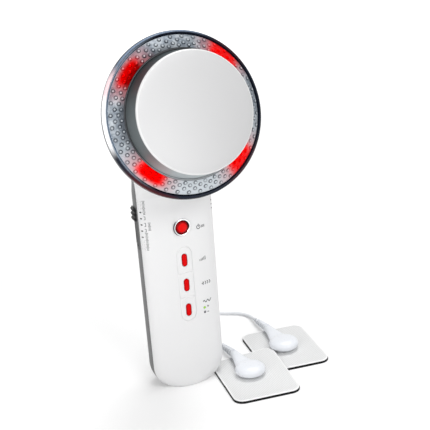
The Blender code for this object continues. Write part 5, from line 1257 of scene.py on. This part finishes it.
def snapBody(snap):  # dome and neck, run together with a soft join
    shape = snapShape
    at = Matrix.Translation((*snap["place"], 0)) @ Matrix.Rotation(snap["turn"], 4, "Z")
    flat, radius, low, waist, top = (shape[name] for name in ("flat", "radius", "low", "waist", "top"))
    profile = [(0, low), (flat, low)]
    for k in range(1, 10):
        angle = math.pi / 2 * k / 9
        profile.append((flat + (radius - flat) * math.sin(angle), waist - (waist - low) * math.cos(angle)))
    for k in range(1, 16):
        angle, full = math.pi / 2 * k / 16, 2 / shape["fullness"]
        profile.append((radius * math.cos(angle) ** full, waist + (top - waist) * math.sin(angle) ** full))
    profile.append((0, top))
    bm = bmesh.new()
    turned(bm, profile, 72, Matrix())
    body = thing("dome", bm, None, at)
    loops = []
    for share in (step / 24 for step in range(25)):
        middle = Vector((0, shape["neckStart"] + (shape["neckEnd"] - shape["neckStart"]) * share, waist))
        wide, tall = (start + (end - start) * eased(share) for start, end in (shape["neckWide"], shape["neckTall"]))
        turns = [math.tau * k / 40 for k in range(40)]
        loops.append([middle + Vector((wide * math.cos(a), 0, tall * math.sin(a))) for a in turns])
    neck = bmesh.new()
    skin(neck, loops)
    carve(body, thing("neck", neck, None, at), "UNION")
    remesh = body.modifiers.new("remesh", "REMESH")
    remesh.mode = "VOXEL"
    remesh.voxel_size = shape["voxel"]
    smooth = body.modifiers.new("smooth", "SMOOTH")
    smooth.factor = 0.5
    smooth.iterations = 5
    bake(body, 70)
    return body


def reliefMesh(bm, at):  # a taper of wide ribs
    shape = snapShape
    (start, end), long, count = shape["reliefRadii"], shape["reliefLong"], shape["ribs"] + 1
    pitch, sunk = long / count, -shape["reliefSunk"]
    profile = [(0, sunk), (start - 0.0002, sunk)]
    for rib in range(shape["ribs"]):
        low = pitch * (rib + 0.37)
        radius = start + (end - start) * (rib + 1) / count
        core = max(radius - shape["ribSink"], end * 0.62)
        for share, height in ((0.0, 0.0), (0.06, 0.7), (0.14, 1.0), (0.38, 1.0), (0.46, 0.7), (0.52, 0.0)):
            profile.append((core + (radius - core) * height, low + pitch * share))
    turned(bm, profile + [(end * 0.9, long - 0.0004), (end * 0.72, long), (0, long)], 32, at)


def makeSnaps():
    made = {}
    for name, snap in snaps.items():
        body = snapBody(snap)
        at = body.matrix_world.copy()
        bm = bmesh.new()
        bm.from_mesh(body.data)
        bpy.data.objects.remove(body)
        reliefMesh(bm, at.inverted() @ reliefFrame(snap))
        node = name + "_connector"
        made[name] = piece(name + "_snap", bm, snapFinish, stands=(node,), at=at, crease=45)
    return made


snapPieces = makeSnaps()
print("scene: pads and connectors made")

# Plug, splitter and the tie on the coil


def makePlug():
    at = Matrix.Translation(plug["place"]) @ Matrix.Rotation(-math.pi / 2, 4, "X")
    start, end, relief = plug["start"], plug["start"] + plug["long"], plug["relief"]
    pin, grip, groove = plug["pin"], plug["grip"], plug["groove"]
    tip, tapered = start - plug["pinLong"], plug["pinTip"]
    profile = [(0, tip), (tapered, tip), (pin, tip + 0.0009), (pin, start)]
    profile += [(grip - 0.0007, start), (grip - 0.0002, start + 0.0003), (grip, start + 0.0008)]
    for k in range(6):  # finger grooves
        low = start + 0.0022 + 0.0014 * k
        profile += [(grip, low), (groove, low + 0.0003), (groove, low + 0.0006), (grip, low + 0.0009)]
    profile += [(grip, end - 0.0010), (grip - 0.0002, end - 0.0004), (grip - 0.0008, end)]
    pitch = relief / 6
    for k in range(5):  # ribs of its relief
        radius, low = plug["rib"] - 0.0010 * (k + 1) / 6, end + pitch * (k + 0.3)
        core = radius - 0.0004
        profile += [(core, low), (radius, low + pitch * 0.2), (radius, low + pitch * 0.5), (core, low + pitch * 0.7)]
    profile += [(0.00115, end + relief - 0.0003), (0.00100, end + relief), (0, end + relief)]
    bm = bmesh.new()
    turned(bm, profile, 48, Matrix())
    return piece("jack_plug", bm, leadFinish, stands=("lead_plug",), at=at, crease=50)


def makeSplitter():
    at = Matrix.Translation((*splitter["place"], 0)) @ Matrix.Rotation(splitter["turn"], 4, "Z")
    long, tall, (narrow, wide) = splitter["long"], splitter["tall"], splitter["wide"]
    turns = [math.tau * (k + 0.5) / 36 for k in range(36)]
    loops = []
    for share in (k / 24 for k in range(25)):
        end = math.sqrt(1 - (abs(share - 0.5) * 2) ** 8) * 0.35 + 0.65  # rounded at both ends
        across = (narrow + (wide - narrow) * eased((share - 0.05) / 0.6)) * end
        middle = Vector((0, long * share, tall / 2))
        high = tall / 2 * end
        loops.append([
            middle + Vector((across * bulged(math.cos(a), 0.7), 0, high * bulged(math.sin(a), 0.7))) for a in turns
        ])
    bm = bmesh.new()
    skin(bm, loops)
    return piece("lead_fork", bm, leadFinish, stands=("lead_splitter",), at=at, crease=50)


tie = {
    "angle": math.radians(20), "wide": 0.0040, "thick": 0.00035, "clear": 0.0002,
    "lowIn": 0.00005, "lowOut": 0.00001,
}


def makeTie():
    reach = coil["step"] * coil["turns"] / 2
    aside = reach + cord["width"] / 2 + tie["clear"]
    inner, outer = coil["radius"] - aside + coil["step"] * 0.5, coil["radius"] + aside
    top = cord["onFloor"] + coil["step"] * (coil["layers"] - 1) + cord["width"] / 2 + tie["clear"]
    half, middle, rise = (outer - inner) / 2, (outer + inner) / 2, top / 2
    turns = [math.tau * k / 40 for k in range(40)]

    def band(side, grow):  # one edge of the strap, flat where it lies on the floor
        floor = tie["lowOut"] if grow else tie["lowIn"]
        points = []
        for a in turns:
            across, up = (half + grow) * bulged(math.cos(a), 0.5), (rise + grow) * bulged(math.sin(a), 0.5)
            points.append((middle + across, side * tie["wide"] / 2, max(rise + up, floor)))
        return points

    thick = tie["thick"]
    bm = bmesh.new()
    rings = [[bm.verts.new(point) for point in band(*edge)] for edge in ((-1, 0), (-1, thick), (1, thick), (1, 0))]
    for one, other in zip(rings, rings[1:] + rings[:1]):
        for k in range(len(turns)):
            bm.faces.new((one[k - 1], one[k], other[k], other[k - 1]))
    at = Matrix.Translation((*coil["centre"], 0)) @ Matrix.Rotation(tie["angle"], 4, "Z")
    look = Look("tie_strap", {"Sheen Weight": 0.3})
    ribs = (look.axes()[1] * (math.tau / 0.0006)).sine() * 0.5 + 0.5
    look.finish(look.mix(ribs, (0.55, 0.57, 0.60), (0.66, 0.68, 0.71)), 0.75 + 0.1 * look.noise(0.001))
    look.bump(ribs, 0.00005, 0.6)
    return piece("coil_tie", bm, look, at=at, crease=50)


plugPiece, forkPiece, tiePiece = makePlug(), makeSplitter(), makeTie()
print("scene: plug, fork and tie made")

# Side knobs

knob = {
    "halfWide": 0.0036, "corner": 0.0014, "clear": 0.0003, "base": 0.0006,
    "ridge": 0.0009, "ridges": 3, "bend": 24.0, "neck": (-0.0030, 0.0004), "neckHalf": 0.0006,
}


def knobLoop(half, height):  # a slice across the knob, which follows the casing's curve
    beyond = min(max(abs(height) - (half - knob["corner"]), 0) / knob["corner"], 1)
    wide = knob["halfWide"] - knob["corner"] * (1 - math.sqrt(1 - beyond * beyond))
    share = (height + half) / (2 * half)
    tip = 1 - abs((share * knob["ridges"]) % 1 * 2 - 1) * 1.5  # above 0 on a ridge
    crest = knob["base"] + knob["ridge"] * max(tip, 0) * (1 - beyond * 0.4)
    loop = []
    for k in range(25):
        across = -1 + 2 * k / 24
        rise = knob["clear"] + (crest - knob["clear"]) * (1 - abs(across) ** 7 * 0.85)
        loop.append((across * wide, rise))
    loop += [(across * wide, knob["clear"]) for across in (1, 0.5, 0, -0.5, -1)]
    return [Vector((rise - knob["bend"] * y * y, y, height)) for y, rise in loop]


def makeKnob(label, slider):
    half = slider["knobHalf"]
    at = seam @ slideAt(slider)
    bm = bmesh.new()
    skin(bm, [knobLoop(half, -half + 2 * half * k / 72) for k in range(73)])
    (deep, out), side, reach = knob["neck"], knob["neckHalf"], slider["neckHalf"]
    box(bm, (deep, -side, -reach), (out, side, reach))
    look = Look(label + "_knob_plastic", {"IOR": 1.5, "Specular IOR Level": 0.22})
    black = look.mix(look.noise(0.001), (0.003, 0.003, 0.0035), (0.008, 0.008, 0.009))
    look.finish(black, 0.34 + 0.14 * look.noise(0.0005))
    body = label + "_knob"
    piece(label + "_thumb", bm, look, body, (body,), at, crease=32)


for label, slider in sliders.items():
    makeKnob(label, slider)

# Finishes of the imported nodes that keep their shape


def plainLook(name, first, second, blotch, rough, metallic=0.0, grain=0.0, coat=0.0):
    look = Look(name, {"Metallic": metallic, "Coat Weight": coat})
    look.finish(look.mix(look.noise(blotch, 3.0), first, second), rough + 0.12 * look.noise(blotch / 3))
    if grain:
        look.bump(look.noise(grain, 2.0), grain / 20, 0.5)
    return look


def boardLook(name, mask, copper):
    look = Look(name, {"Coat Weight": 0.3, "Coat Roughness": 0.2})
    x, y, z = look.axes()
    across, along = ((way * (math.tau / pitch)).sine() for way, pitch in ((x, 0.0016), (z, 0.0047)))
    lines = across.rise(0.75, 0.9).most(along.rise(0.9, 0.97))
    ground = look.mix(look.noise(0.002), mask, tuple(c * 1.25 for c in mask))
    look.finish(look.mix(lines * 0.7, ground, copper), 0.38 + 0.1 * look.noise(0.001))
    look.bump(lines, 0.00003, 0.6)
    return look


def windingLook():
    look = Look("copper_wire", {"Metallic": 0.8})
    turns = (look.axes()[1] * (math.tau / 0.0004)).sine() * 0.5 + 0.5
    look.finish(look.mix(turns, (0.24, 0.07, 0.02), (0.72, 0.32, 0.12)), 0.28 + 0.12 * turns)
    look.bump(turns, 0.0001, 0.8)
    return look


def reflectorLook():
    look = Look("reflector_foil", {"Metallic": 0.9})
    crinkle = look.noise(0.0012, 4.0)
    look.finish(look.mix(crinkle, (0.55, 0.58, 0.62), (0.80, 0.83, 0.87)), 0.24 + 0.14 * crinkle)
    look.bump(crinkle, 0.0002, 0.7)
    return look


def ledLook():
    look = Look("red_led", {"Coat Weight": 0.6, "Emission Strength": 1.5})
    core = look.noise(0.001)
    look.finish(look.mix(core, (0.6, 0.005, 0.005), (0.8, 0.02, 0.02)), 0.15 + 0.1 * core)
    look.feed("Emission Color", look.mix(core, (0.6, 0.0, 0.0), (1.0, 0.02, 0.01)))
    return look


finishes = {
    "screw": plainLook("screw_steel", (0.52, 0.52, 0.54), (0.66, 0.66, 0.67), 0.0006, 0.22, 1.0, 0.0002),
    "rubber": plainLook("switch_rubber", (0.02, 0.02, 0.022), (0.04, 0.04, 0.042), 0.001, 0.6, 0.0, 0.0003),
    "black": plainLook("black_plastic", (0.016, 0.016, 0.018), (0.034, 0.034, 0.037), 0.0015, 0.34, 0.0, 0.0003, 0.1),
    "board": boardLook("board", (0.015, 0.14, 0.06), (0.42, 0.30, 0.12)),
    "whiteBoard": boardLook("white_board", (0.62, 0.62, 0.58), (0.45, 0.42, 0.30)),
    "ferrite": plainLook("ferrite", (0.035, 0.035, 0.04), (0.075, 0.075, 0.08), 0.0008, 0.55, 0.1, 0.0003),
    "copper": windingLook(),
    "sink": plainLook("sink_metal", (0.55, 0.56, 0.58), (0.70, 0.71, 0.73), 0.002, 0.28, 1.0, 0.0004),
    "can": plainLook("capacitor_sleeve", (0.03, 0.05, 0.17), (0.06, 0.09, 0.26), 0.003, 0.24, 0.0, 0.0, 0.4),
    "carrier": plainLook("carrier_plastic", (0.62, 0.62, 0.63), (0.72, 0.72, 0.73), 0.004, 0.42, 0.0, 0.0005),
    "ceramic": plainLook("ceramic", (0.66, 0.63, 0.52), (0.78, 0.76, 0.68), 0.003, 0.3, 0.0, 0.0006),
    "stud": plainLook("stud_metal", (0.58, 0.58, 0.6), (0.74, 0.74, 0.75), 0.001, 0.2, 1.0, 0.0003),
    "foil": reflectorLook(),
    "led": ledLook(),
}
kept = {
    "screw": (
        "shell_screw_left", "shell_screw_right", "board_screw_high", "board_screw_low",
        "ring_screw_right", "ring_screw_left", "ring_screw_low",
    ),
    "rubber": ("switch_mat",),
    "black": ("mode_switch", "level_switch", "driver_transistor", "control_chip", "power_socket", "lead_socket"),
    "board": ("main_board",),
    "whiteBoard": ("led_board",),
    "ferrite": ("transformer_core",),
    "copper": ("transformer_winding",),
    "sink": ("heat_sink",),
    "can": ("storage_capacitor", "output_capacitor"),
    "carrier": ("disc_carrier",),
    "ceramic": ("piezo_element",),
    "stud": ("near_stud", "far_stud"),
    "foil": ("reflector_ring",),
    "led": tuple(f"red_light_{k}" for k in range(1, 5)),
}


def dressNodes():
    for finish, names in kept.items():
        for name in names:
            slots = nodes[name].data.materials
            slots.clear()
            slots.append(finishes[finish].material)


dressNodes()
print("scene: packed nodes dressed")
